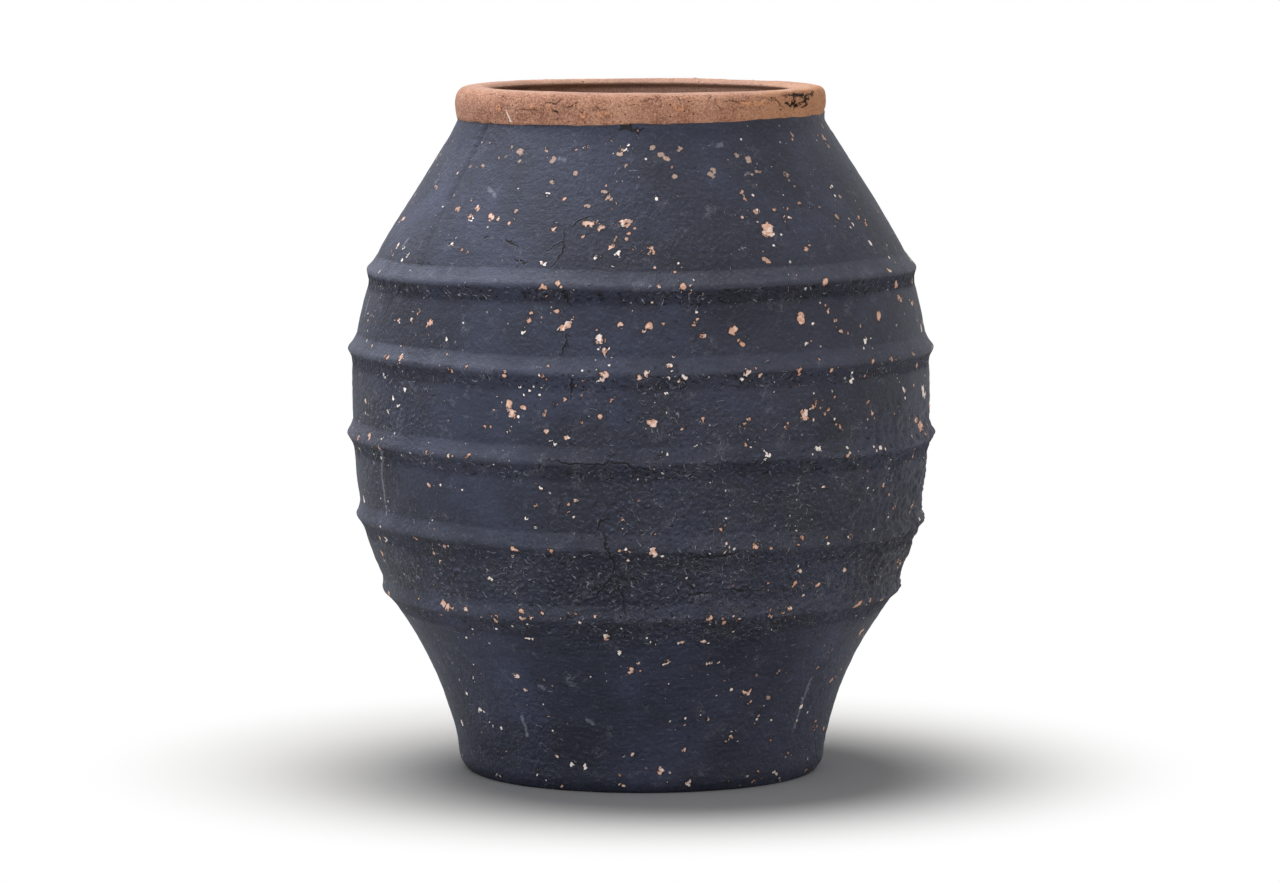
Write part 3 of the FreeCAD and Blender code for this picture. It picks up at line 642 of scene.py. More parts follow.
    # hair-fine wrinkles, each a pale line with its shadow beside it, crowded where the wall is rubbed
    cell = add(tree, "TexVoronoi", {"Vector": bent, "Scale": 1 / (size["hairCell"] * mm)}, out=None)
    chance = add(tree, "SeparateColor", {0: cell.outputs["Color"]}, out=None)
    facing = add(tree, "VectorMath", {0: cell.outputs["Color"], 1: (0.5, 0.5, 0.5)}, operation="SUBTRACT")
    facing = add(tree, "VectorMath", {0: facing}, operation="NORMALIZE")
    across = add(tree, "VectorMath", {0: bent, 1: cell.outputs["Position"]}, operation="SUBTRACT")
    across = add(tree, "VectorMath", {0: across, 1: facing}, out="Value", operation="DOT_PRODUCT")
    reach = add(tree, "Math", {0: chance.outputs[1], 1: size["hairLongest"] / size["hairCell"]},
                operation="MULTIPLY")
    reach = add(tree, "Math", {0: reach, 1: cell.outputs["Distance"]}, operation="GREATER_THAN")
    often = add(tree, "MapRange", {"Value": field["rubbed"], "From Min": 0.3, "To Min": 0.03, "To Max": 0.95})
    often = add(tree, "Math", {0: field["underBand"], 1: 0.7, 2: often}, operation="MULTIPLY_ADD")
    often = add(tree, "Math", {0: often, 1: inRuns}, operation="MULTIPLY")
    shown = add(tree, "Math", {0: chance.outputs[2], 1: often}, operation="LESS_THAN")
    broken = add(tree, "MapRange", {"Value": noise["leather"], "From Min": 0.36, "From Max": 0.56,
                                    "To Max": 0.85})
    shown = add(tree, "Math", {0: shown, 1: broken}, operation="MULTIPLY")
    shown = add(tree, "Math", {0: shown, 1: reach}, operation="MULTIPLY")
    wrinkle = {}
    for key, offset in (("pale", 0), ("dark", 1.5 * size["hairWidth"] * mm)):
        away = add(tree, "Math", {0: across, 1: offset}, operation="SUBTRACT")
        away = add(tree, "Math", {0: away}, operation="ABSOLUTE")
        line = add(tree, "MapRange", {"Value": away, "From Min": size["hairWidth"] * mm,
                                      "From Max": 0.2 * size["hairWidth"] * mm})
        wrinkle[key] = add(tree, "Math", {0: line, 1: shown}, operation="MULTIPLY")
    coats.append((wrinkle["dark"], "pit"))
    # dusty smudges and chalk
    smudge = add(tree, "MapRange", {"Value": noise["smudge"], "From Min": 0.57, "From Max": 0.80,
                                    "To Max": 0.55})
    grainy = add(tree, "MapRange", {"Value": noise["grain"], "From Min": 0.40, "From Max": 0.66})
    smudge = add(tree, "Math", {0: smudge, 1: grainy}, operation="MULTIPLY")
    chalkLine = add(tree, "Math", {0: noise["grain"], 1: 3.0, 2: field["chalkEdge"]},
                    operation="MULTIPLY_ADD")
    chalky = add(tree, "MapRange", {"Value": chalkLine, "From Min": 2.4, "From Max": 0.9, "To Max": 0.55})
    pale = add(tree, "Math", {0: wrinkle["pale"], 1: chalky}, operation="MAXIMUM")
    pale = add(tree, "Math", {0: pale, 1: smudge}, operation="MAXIMUM")
    coats.append((pale, "scuff"))
    # cracks, and pits that crowd under the bands and where the wall is rubbed, painted near black as painted
    # shade in the gaps
    gape = add(tree, "Math", {0: field["crackDepth"], 1: 1.0}, operation="MAXIMUM")
    faint = add(tree, "Math", {0: field["crackDepth"], 1: 1.0}, operation="MINIMUM")
    ragged = add(tree, "Math", {0: noise["leather"], 1: 1.6, 2: -0.8}, operation="MULTIPLY_ADD")
    side = add(tree, "Math", {0: field["crackSide"], 1: ragged}, operation="ADD")
    nearCrack = add(tree, "Math", {0: field["crackEdge"], 1: gape}, operation="DIVIDE")
    nearCrack = add(tree, "MapRange", {"Value": nearCrack, "From Min": 1.6, "From Max": 1.1})
    nearCrack = add(tree, "Math", {0: nearCrack, 1: faint}, operation="MULTIPLY")
    broken = add(tree, "MapRange", {"Value": noise["crumb"], "From Min": 0.36, "From Max": 0.46,
                                    "To Min": 0.15})
    whole = add(tree, "MapRange", {"Value": field["crackDepth"], "From Min": 1.2, "From Max": 1.7})
    broken = add(tree, "Math", {0: broken, 1: whole}, operation="MAXIMUM")
    nearCrack = add(tree, "Math", {0: nearCrack, 1: broken}, operation="MULTIPLY")
    crackAway = add(tree, "Math", {0: side}, operation="ABSOLUTE")
    crackAway = add(tree, "Math", {0: crackAway, 1: gape}, operation="DIVIDE")
    crackLine = add(tree, "MapRange", {"Value": crackAway, "From Min": 0.75 * size["crackWidth"],
                                       "From Max": 0.25 * size["crackWidth"]})
    crackLine = add(tree, "Math", {0: crackLine, 1: nearCrack}, operation="MULTIPLY")
    # painted highlight: a pale line along one side of each crack, raised a little in the relief too
    lip = add(tree, "Math", {0: side, 1: -1.3 * size["crackWidth"]}, operation="SUBTRACT")
    lip = add(tree, "Math", {0: lip}, operation="ABSOLUTE")
    lip = add(tree, "MapRange", {"Value": lip, "From Min": 0.5 * size["crackWidth"], "From Max": 0.0,
                                 "To Max": 0.5})
    lip = add(tree, "Math", {0: lip, 1: nearCrack}, operation="MULTIPLY")
    coats.append((lip, "rise"))
    pitZone = add(tree, "Math", {0: field["rubbed"], 1: 0.55, 2: field["underBand"]},
                  operation="MULTIPLY_ADD")
    pitCut = add(tree, "Math", {0: pitZone, 1: -0.085, 2: noise["crumb"]}, operation="MULTIPLY_ADD")
    pit = add(tree, "MapRange", {"Value": pitCut, "From Min": 0.305, "From Max": 0.27})
    hole = add(tree, "Math", {0: crackLine, 1: pit}, operation="MAXIMUM")
    # paint comes off in angular chips: each cell holds or lets go as one
    chip = add(tree, "TexVoronoi", {"Vector": warped, "Scale": 1 / (size["chip"] * mm)}, out="Color")
    chip = add(tree, "SeparateColor", {0: chip}, out=None)
    chipped = add(tree, "Math", {0: chip.outputs[0], 1: 2 * size["chipReach"], 2: field["flakeEdge"]},
                  operation="MULTIPLY_ADD")
    flakeLine = add(tree, "Math", {0: noise["grain"], 1: 0.6, 2: chipped}, operation="MULTIPLY_ADD")
    edge = size["chipReach"] + 0.25
    flake = add(tree, "MapRange", {"Value": flakeLine, "From Min": edge + 0.1, "From Max": edge - 0.1})
    fleck, fleckChance = speckle(tree, warped, specks["fleck"])
    dust = speckle(tree, warped, specks["dust"])[0]
    crowd = add(tree, "MapRange", {"Value": noise["flock"], "From Min": 0.46, "From Max": 0.58})
    small = add(tree, "Math", {0: fleck, 1: dust}, operation="MAXIMUM")
    small = add(tree, "Math", {0: small, 1: crowd}, operation="MULTIPLY")
    bare = add(tree, "Math", {0: flake, 1: small}, operation="MAXIMUM")
    # a flake's lifted edge shades the paint round it
    shaded = add(tree, "MapRange", {"Value": flakeLine, "From Min": edge + 0.75, "From Max": edge + 0.2,
                                    "To Max": 0.75})
    halo = add(tree, "MapRange", {"Value": field["flakeEdge"], "From Min": 1.4, "From Max": 0.2,
                                  "To Max": 0.5})
    shaded = add(tree, "Math", {0: shaded, 1: halo}, operation="MAXIMUM")
    shaded = add(tree, "Math", {0: hole, 1: shaded}, operation="MAXIMUM")
    coats.append((shaded, "pit"))
    # bare clay in the flakes, browner at their edges, each chip its own tone, some bleached and some still
    # veiled by paint
    depth = add(tree, "MapRange", {"Value": flakeLine, "From Min": edge, "From Max": edge - 0.8})
    depth = add(tree, "Math", {0: depth, 1: small}, operation="MAXIMUM")
    clayTone = add(tree, "Mix", {0: depth, 6: tint["flakeRim"], 7: tint["flake"]}, out=2, data_type="RGBA")
    deeper = add(tree, "Math", {0: noise["grain"], 1: chip.outputs[1]}, operation="ADD")
    deeper = add(tree, "MapRange", {"Value": deeper, "From Min": 1.05, "From Max": 0.65, "To Max": 0.9})
    clayCoats = [(deeper, "flakeDeep")]
    veiled = add(tree, "MapRange", {"Value": field["flakeTint"], "From Min": 0.0, "From Max": -0.45,
                                    "To Max": 0.8})
    clayCoats.append((veiled, "flakeDull"))
    bleach = add(tree, "Math", {0: chip.outputs[1], 1: 0.5, 2: field["flakeTint"]}, operation="MULTIPLY_ADD")
    bleach = add(tree, "MapRange", {"Value": bleach, "From Min": 0.6, "From Max": 0.9})
    paleFleck = add(tree, "Math", {0: fleckChance, 1: 0.35}, operation="GREATER_THAN")
    paleFleck = add(tree, "Math", {0: fleck, 1: paleFleck}, operation="MULTIPLY")
    bleach = add(tree, "Math", {0: bleach, 1: dust}, operation="MAXIMUM")
    bleach = add(tree, "Math", {0: bleach, 1: paleFleck}, operation="MAXIMUM")
    clayCoats.append((bleach, "flakeWhite"))
    for mask, code in coats:
        colour = add(tree, "Mix", {0: mask, 6: colour, 7: tint[code]}, out=2, data_type="RGBA")
    for mask, code in clayCoats:
        clayTone = add(tree, "Mix", {0: mask, 6: clayTone, 7: tint[code]}, out=2, data_type="RGBA")
    colour = add(tree, "Mix", {0: bare, 6: colour, 7: clayTone}, out=2, data_type="RGBA")
    matt = add(tree, "Math", {0: bare, 1: field["underBand"]}, operation="MAXIMUM")
    roughness = add(tree, "MapRange", {"Value": matt, "To Min": paint["roughness"],
                                       "To Max": paint["flakeRoughness"]})
    # relief in metres: leather, grain, brush marks, crumbs, wrinkles, and how deep flakes, pits and cracks go
    leathery = add(tree, "MapRange", {"Value": field["rubbed"], "To Min": 0.5 * mm, "To Max": 2.6 * mm})
    relief = add(tree, "Math", {0: noise["leather"], 1: leathery}, operation="MULTIPLY")
    crumbly = add(tree, "Math", {0: field["underBand"], 1: 2.4 * mm}, operation="MULTIPLY")
    for height, deep in ((noise["grain"], 0.6 * mm), (noise["brush"], 0.35 * mm), (noise["crumb"], crumbly),
                         (wrinkle["pale"], 0.4 * mm), (wrinkle["dark"], -0.4 * mm), (bare, -0.35 * mm),
                         (lip, 0.4 * mm), (hole, -0.9 * mm)):
        relief = add(tree, "Math", {0: height, 1: deep, 2: relief}, operation="MULTIPLY_ADD")
    normal = add(tree, "Bump", {"Height": relief, "Strength": 1.0, "Distance": 1.0})
    shader = add(tree, "BsdfPrincipled", {"Base Color": colour, "Roughness": roughness, "Normal": normal,
                                          "IOR": 1.5, "Specular IOR Level": paint["sheen"]})
    add(tree, "OutputMaterial", {"Surface": shader}, out=None)
    return material


# terracotta left bare and rolled by hand: dull, sandy pink-brown with paler raised scrapes, pits and cracks;
# sizes in mm
terracotta = {"dark": "#7a5242", "mid": "#a4765f", "light": "#c79a80", "scrape": "#d3946c",
              "golden": "#c08c5e", "pit": "#281913", "nick": "#e8d8ce", "wornAndHighlight": "#b39585", "roughness": 0.88,
              "mottle": 26, "sand": 1.5, "grain": 0.7, "wipe": 9, "scrapeWidth": 3.4, "crackWidth": 0.58,
              "sandDepth": 0.95, "grainDepth": 0.4,
              "pits": {"cell": 3.2, "share": 0.5, "least": 0.12, "largest": 0.6}}
# the raw inside: the same clay, darker, browner and more matt
rawInside = {"dark": "#64463a", "mid": "#836051", "light": "#9b7868", "scrape": "#937060",
             "golden": "#836051", "pit": "#35241d", "roughness": 0.93,
             "mottle": 34, "sand": 2.6, "grain": 1.2, "wipe": 16, "scrapeWidth": 6.0, "sandDepth": 0.75,
             "grainDepth": 0.2, "pits": {"cell": 6, "share": 0.3, "least": 0.2, "largest": 0.8}}


def bareClay(name, finish, marked):
    material = bpy.data.materials.new(name)
    tree = freshTree(material)
    place = add(tree, "TexCoord", out="Object")
    shaken = add(tree, "TexNoise", {"Vector": place, "Scale": 1 / (3 * mm), "Detail": 2.0}, out="Color")
    warped = add(tree, "VectorMath", {0: shaken, 1: (2 * mm,) * 3, 2: place}, operation="MULTIPLY_ADD")
    mottle = add(tree, "TexNoise", {"Vector": place, "Scale": 1 / (finish["mottle"] * mm), "Detail": 4.0,
                                    "Roughness": 0.55})
    sand = add(tree, "TexNoise", {"Vector": warped, "Scale": 1 / (finish["sand"] * mm), "Detail": 3.0,
                                  "Roughness": 0.65})
    grain = add(tree, "TexNoise", {"Vector": place, "Scale": 1 / (finish["grain"] * mm), "Detail": 2.0,
                                   "Roughness": 0.7})
    # the wet hand that smoothed it went round the pot
    flat = add(tree, "Mapping", {"Vector": warped, "Scale": (1.0, 1.0, 9.0)})
    wipe = add(tree, "TexNoise", {"Vector": flat, "Scale": 1 / (finish["wipe"] * mm), "Detail": 3.0,
                                  "Roughness": 0.6})
    tone = add(tree, "Math", {0: mottle, 1: 0.5}, operation="MULTIPLY")
    tone = add(tree, "Math", {0: wipe, 1: 0.2, 2: tone}, operation="MULTIPLY_ADD")
    tone = add(tree, "Math", {0: sand, 1: 0.75, 2: tone}, operation="MULTIPLY_ADD")
    tone = add(tree, "Math", {0: grain, 1: 0.6, 2: tone}, operation="MULTIPLY_ADD")
    coats = [(add(tree, "MapRange", {"Value": tone, "From Min": 0.87, "From Max": 1.0}), "mid"),
             (add(tree, "MapRange", {"Value": tone, "From Min": 1.0, "From Max": 1.2}), "light")]
    # more golden in patches towards the right (+X)
    goldenSide = add(tree, "SeparateXYZ", {0: place})
    goldenSide = add(tree, "Math", {0: mottle, 1: 0.12, 2: goldenSide}, operation="MULTIPLY_ADD")
    goldenSide = add(tree, "MapRange", {"Value": goldenSide, "From Min": 0.12, "From Max": 0.19, "To Max": 0.5})
    coats.append((goldenSide, "golden"))
    # paler scrapes lie a little proud, long round the pot and ragged at the edge
    long = add(tree, "Mapping", {"Vector": warped, "Scale": (1.0, 1.0, 3.0)})
    streak = add(tree, "TexNoise", {"Vector": long, "Scale": 1 / (3 * finish["scrapeWidth"] * mm),
                                    "Detail": 4.0, "Roughness": 0.62})
    scrape = add(tree, "MapRange", {"Value": streak, "From Min": 0.65, "From Max": 0.69})
    hole = speckle(tree, warped, finish["pits"])[0]
    if marked:
        marks = ("crackEdge", "crackSide", "crackDepth", "holeEdge", "scrapeEdge", "nickEdge", "wornAndHighlight")
        field = {key: add(tree, "Attribute", out="Fac", attribute_name=key) for key in marks}
        placed = add(tree, "Math", {0: streak, 1: 9.0, 2: field["scrapeEdge"]}, operation="MULTIPLY_ADD")
        placed = add(tree, "MapRange", {"Value": placed, "From Min": 5.1, "From Max": 4.2})
        scrape = add(tree, "Math", {0: scrape, 1: placed}, operation="MAXIMUM")
        gape = add(tree, "Math", {0: field["crackDepth"], 1: 1.0}, operation="MAXIMUM")
        near = add(tree, "Math", {0: field["crackEdge"], 1: gape}, operation="DIVIDE")
        near = add(tree, "MapRange", {"Value": near, "From Min": 1.4, "From Max": 0.9})
        crackAway = add(tree, "Math", {0: field["crackSide"]}, operation="ABSOLUTE")
        crackAway = add(tree, "Math", {0: crackAway, 1: gape}, operation="DIVIDE")
        crackAway = add(tree, "Math", {0: sand, 1: 1.2, 2: crackAway}, operation="MULTIPLY_ADD")
        crackAway = add(tree, "Math", {0: streak, 1: 3.0, 2: crackAway}, operation="MULTIPLY_ADD")
        crackAway = add(tree, "Math", {0: crackAway, 1: 1.5}, operation="SUBTRACT")
        crack = add(tree, "MapRange", {"Value": crackAway, "From Min": 0.65 + finish["crackWidth"],
                                       "From Max": 0.6 + 0.4 * finish["crackWidth"]})
        crack = add(tree, "Math", {0: crack, 1: near}, operation="MULTIPLY")
        crack = add(tree, "Math", {0: crack, 1: field["crackDepth"]}, operation="MULTIPLY", use_clamp=True)
        gouge = add(tree, "Math", {0: sand, 1: 2.0, 2: field["holeEdge"]}, operation="MULTIPLY_ADD")
        gouge = add(tree, "MapRange", {"Value": gouge, "From Min": 1.35, "From Max": 0.85})
        for mark in (crack, gouge):
            hole = add(tree, "Math", {0: hole, 1: mark}, operation="MAXIMUM")
    sandy = add(tree, "MapRange", {"Value": sand, "From Min": 0.40, "From Max": 0.58, "To Max": 0.9})
    coats.append((add(tree, "Math", {0: scrape, 1: sandy}, operation="MULTIPLY"), "scrape"))
    if marked:
        nick = add(tree, "Math", {0: sand, 1: 1.4, 2: field["nickEdge"]}, operation="MULTIPLY_ADD")
        nick = add(tree, "MapRange", {"Value": nick, "From Min": 0.9, "From Max": 0.5, "To Max": 0.85})
        coats.append((nick, "nick"))
        # painted highlight and wear: the top of the lip and its inside face are painted paler, as where light
        # catches them, and their relief is smoothed
        wornAndHighlight = add(tree, "Math", {0: field["wornAndHighlight"], 1: 0.4}, operation="MULTIPLY")
        coats.append((wornAndHighlight, "wornAndHighlight"))
    colour = hexColour(finish["dark"])
    # painted shade: pits, cracks and gouges are painted dark last, as the shade in them
    for mask, code in coats + [(hole, "pit")]:
        colour = add(tree, "Mix", {0: mask, 6: colour, 7: hexColour(finish[code])}, out=2, data_type="RGBA")
    relief = add(tree, "Math", {0: grain, 1: finish["grainDepth"] * mm}, operation="MULTIPLY")
    relief = add(tree, "Math", {0: sand, 1: finish["sandDepth"] * mm, 2: relief}, operation="MULTIPLY_ADD")
    if marked:
        rough = add(tree, "MapRange", {"Value": field["wornAndHighlight"], "To Min": 1.0, "To Max": 0.35})
        relief = add(tree, "Math", {0: relief, 1: rough}, operation="MULTIPLY")
    relief = add(tree, "Math", {0: wipe, 1: 0.3 * mm, 2: relief}, operation="MULTIPLY_ADD")
    relief = add(tree, "Math", {0: scrape, 1: 0.6 * mm, 2: relief}, operation="MULTIPLY_ADD")
    relief = add(tree, "Math", {0: hole, 1: -0.9 * mm, 2: relief}, operation="MULTIPLY_ADD")
    normal = add(tree, "Bump", {"Height": relief, "Strength": 1.0, "Distance": 1.0})
    shader = add(tree, "BsdfPrincipled", {"Base Color": colour, "Roughness": finish["roughness"],
                                          "Normal": normal, "IOR": 1.5, "Specular IOR Level": 0.3})
    add(tree, "OutputMaterial", {"Surface": shader}, out=None)
    return material


painted = paintedClay()
bareRim = bareClay("handRolledTerracotta", terracotta, True)
bareInside = bareClay("rawTerracottaInside", rawInside, False)
print("stage: finishes made")

# bands pressed over the seams; sag is mm from level at degrees round from the front
bands = {"rows": 24, "tuck": 1.6, "tuckVary": 0.5, "edgeWander": 1.1, "thickVary": 0.14, "crestRounds": 7,
         "crestGain": 0.24, "crumble": 1.4,
         # how much dust and painted highlight lies on the ledge, and crumbs, soot and painted shade below it
         "dust": {"band_1": 0.45, "band_2": 0.6, "band_3": 0.65, "band_4": 0.8, "band_5": 1.0},
         "dirtAndShade": {"band_1": 0.5, "band_2": 0.5, "band_3": 0.7, "band_4": 0.75, "band_5": 1.0},
         "dustAndHighlightRound": {-90: 0.8, -40: 0.8, -10: 0.6, 15: 0.55, 50: 0.45, 90: 0.5, 140: 0.7, 180: 0.5,
                       230: 0.8},
         "sag": {"band_1": {-53: -1.0, -26: -2.0, 0: -0.4, 27: 0.8, 55: 1.5, 180: 0},
                 "band_2": {-51: 0.5, -24: -1.5, 0: -2.4, 24: -3.2, 51: -4.2, 120: -1, 180: 0.5},
                 "band_3": {-48: 0.7, -23: -1.0, 0: -0.6, 23: 1.9, 48: -1.0, 120: 1, 180: -0.5},
                 "band_4": {-49: 0.9, -23: -0.5, 0: 0.4, 23: 1.6, 48: 2.7, 120: 0.6, 180: -0.6},
                 "band_5": {-53: -0.5, -25: 2.7, 0: 0.4, 25: 2.1, 53: 3.0, 120: 1, 180: 0}}}


def bandLines(number):
    # crest, upper and lower edge heights round the pot
    name, seam = bandNames[number], seams[1 + number]
    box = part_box(name)
    sag = around(bands["sag"][name])
    wander = bands["edgeWander"] * (0.6 * ringNoise(45, 21 + number) + 0.5 * ringNoise(14, 31 + number))
    return seam + sag, box[1][2] / mm + sag + 0.7 * wander, box[0][2] / mm + sag + wander


edges = [bandLines(number) for number in range(5)]


def makeBand(number):
    name, seam = bandNames[number], seams[1 + number]
    crest, upper, lower = edges[number]
    down = np.linspace(1, 0, bands["rows"])[:, None]
    height = upper + (lower - upper) * down
    crestAt = (upper - crest) / (upper - lower)
    thick = skinRadius(name, seam, False) - float(np.interp(seam, levels, outerRadii))
    thick = thick * (1 + bands["thickVary"] * ringNoise(60, 41 + number))
    tuck = bands["tuck"] + bands["tuckVary"] * ringNoise(22, 51 + number)
    rise = np.clip(down / crestAt, 0, 1)
    fall = np.clip((down - crestAt) / (1 - crestAt), 0, 1)
    stand = thick * np.where(down < crestAt, 0.62 * rise + 0.38 * rise ** 2, (1 - fall) ** tuck)
    for turn in range(bands["crestRounds"]):  # rounds the crest off, a row further each time
        stand[1:-1] = 0.25 * stand[:-2] + 0.5 * stand[1:-1] + 0.25 * stand[2:]
    stand = stand * (1 + bands["crestGain"] * np.exp(-((down - crestAt) / 0.16) ** 2))
    skin = wallAt(height)
    base = spin(skin + stand, height)
    # soot and painted shade on the band's under side
    under = step(0.06, 0.3, fall) * bands["dirtAndShade"][name]
    crumble = lumps(base, 5.5, 61) + 0.8 * lumps(base, 11, 62)
    crumble = 0.5 * crumble - np.maximum(0, crumble - 0.35)
    stand = stand + bands["crumble"] * under * crumble * np.clip(stand, 0, 1)
    backs = np.stack(((upper + seam) / 2, np.full(turns, seam), (seam + lower) / 2, lower + 0.5))
    points = np.concatenate((spin(skin + np.maximum(stand, 0), height), spin(wallAt(backs), backs)))
    # dust and painted highlight on the band's upper slope, more on some sides of the pot
    ledge = step(0.0, 0.2, rise) * step(0.3, 0.02, fall) * bands["dust"][name] * around(bands["dustAndHighlightRound"], 9)
    fields = wearFields(height, float(np.mean(skin)), under, ledge, base)
    piece = makeRing("visual_" + name, points, bands["rows"], [bands["rows"] - 1, 0, len(points) - 1], fields,
                     [painted])
    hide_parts(name)


for number in range(5):
    makeBand(number)
print("stage: bands pressed on")

# walls: mm between rows outside and inside, and how far the dirt and painted shade under a band runs down the
# wall
walls = {"rowStep": 1.35, "innerStep": 5.2, "dirtAndShade": 0.6, "dirtAndShadeRun": 1.4, "dirtAndShadeVary": 4.5, "furrow": 1.3}
# the line where the paint ends under the rim, mm from the seam at degrees round from the front
paintLine = {"marks": {-85: 0.0, -40: 0.6, -5: 2.4, -2.5: 3.4, 0: 3.2, 3: 2.2, 40: 4.4, 80: 5.2, 130: 2.0,
                       180: 1.0}, "wander": 0.7}
rimEdge = seams[-1] + around(paintLine["marks"], 2.5) + paintLine["wander"] * ringNoise(18, 71)


def makeWall(course):
    name, low, high = courseNames[course], seams[course - 1], seams[course]
    lowEdge = edges[course - 2][1] if course > 1 else np.full(turns, low)
    highEdge = edges[course - 1][2] if course < 6 else rimEdge
    length = float(np.interp(highEdge.mean(), levels, slants) - np.interp(lowEdge.mean(), levels, slants))
    shown = np.linspace(lowEdge, highEdge, int(length / walls["rowStep"]))
    parts = [shown]
    if course > 1:
        parts.insert(0, np.stack((np.full(turns, low), (low + lowEdge) / 2)))
    if course < 6:
        parts.append(np.stack(((highEdge + high) / 2, np.full(turns, high))))
    height = np.concatenate(parts)
    radius = np.interp(height, levels, outerRadii)
    base = spin(radius, height)
    # dirt and painted shade on the wall just under the band above, running down a varying way
    dirtAndShade = walls["dirtAndShadeRun"] + walls["dirtAndShadeVary"] * step(0.0, 0.5, ringNoise(30, 90 + course))
    under = np.zeros(height.shape)
    if course < 6:
        under = walls["dirtAndShade"] * np.exp(-(np.maximum(0, highEdge - height) / dirtAndShade) ** 2)
    inner = allRound(np.linspace(high, low, max(5, int((high - low) / walls["innerStep"]))))
    hollow = np.interp(inner, levels, innerRadii)
    ridge = np.sin(2 * math.pi * (inner + 5 * lumps(spin(hollow, inner), 130, 7)) / clay["innerRidgeEvery"])
    held = np.sin(math.pi * np.linspace(0, 1, len(inner)))[:, None] ** 0.5
    hollow = hollow + held * (clay["innerRidge"] * ridge * 0.5 + 0.7 * lumps(spin(hollow, inner), 40, 8))
    fields = wearFields(height, float(np.mean(radius)), under, np.zeros(height.shape), base)
    skin = wallAt(height) - walls["furrow"] * step(4.5, -1.0, fields["furrowEdge"])
    points = np.concatenate((spin(skin, height), spin(hollow, inner)))
    outer = len(height)
    piece = makeRing("visual_" + name, points, outer, [outer - 1, outer, -1, 0], fields,
                     [painted, bareInside])
    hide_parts(name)


for course in range(1, 7):
    makeWall(course)
print("stage: walls raised")

# the slab that the pot stands on, with its drain hole; radii in mm
slab = {"rows": 15, "topRadii": [119, 100, 80, 60, 40, 26, 18], "bottomRadii": [18, 30, 60, 90, 116],
        "trowel": 0.5, "holeChamfer": 2.0, "heel": 1.2}


def makeSlab():
    top = seams[0]
    height = allRound(np.linspace(0, top, slab["rows"]))
    skin = wallAt(height)
    skin[0] -= slab["heel"]
    drain = skinRadius("floor_slab", top / 2, True)
    topRadii = allRound(slab["topRadii"] + [drain + slab["holeChamfer"]])
    topHeight = top + slab["trowel"] * lumps(spin(topRadii, 20.0), 38, 9) * step(119, 100, topRadii)
    holeHeight = allRound(np.linspace(top - slab["holeChamfer"], slab["holeChamfer"], 8))
    holeRadii = drain + 0.25 * lumps(spin(np.full(holeHeight.shape, drain), holeHeight), 7, 10)
    bottomRadii = allRound([drain + slab["holeChamfer"]] + slab["bottomRadii"])
    points = np.concatenate((spin(skin, height), spin(topRadii, topHeight), spin(holeRadii, holeHeight),
                             spin(bottomRadii, 0.0)))
    base = spin(np.interp(height, levels, outerRadii), height)
    fields = wearFields(height, float(np.mean(skin)), np.zeros(height.shape), np.zeros(height.shape), base)
    outer = len(height)
    piece = makeRing("visual_floor_slab", points, outer, [outer - 1, outer], fields,
                     [painted, bareInside])
    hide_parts("floor_slab")


makeSlab()
print("stage: slab laid")

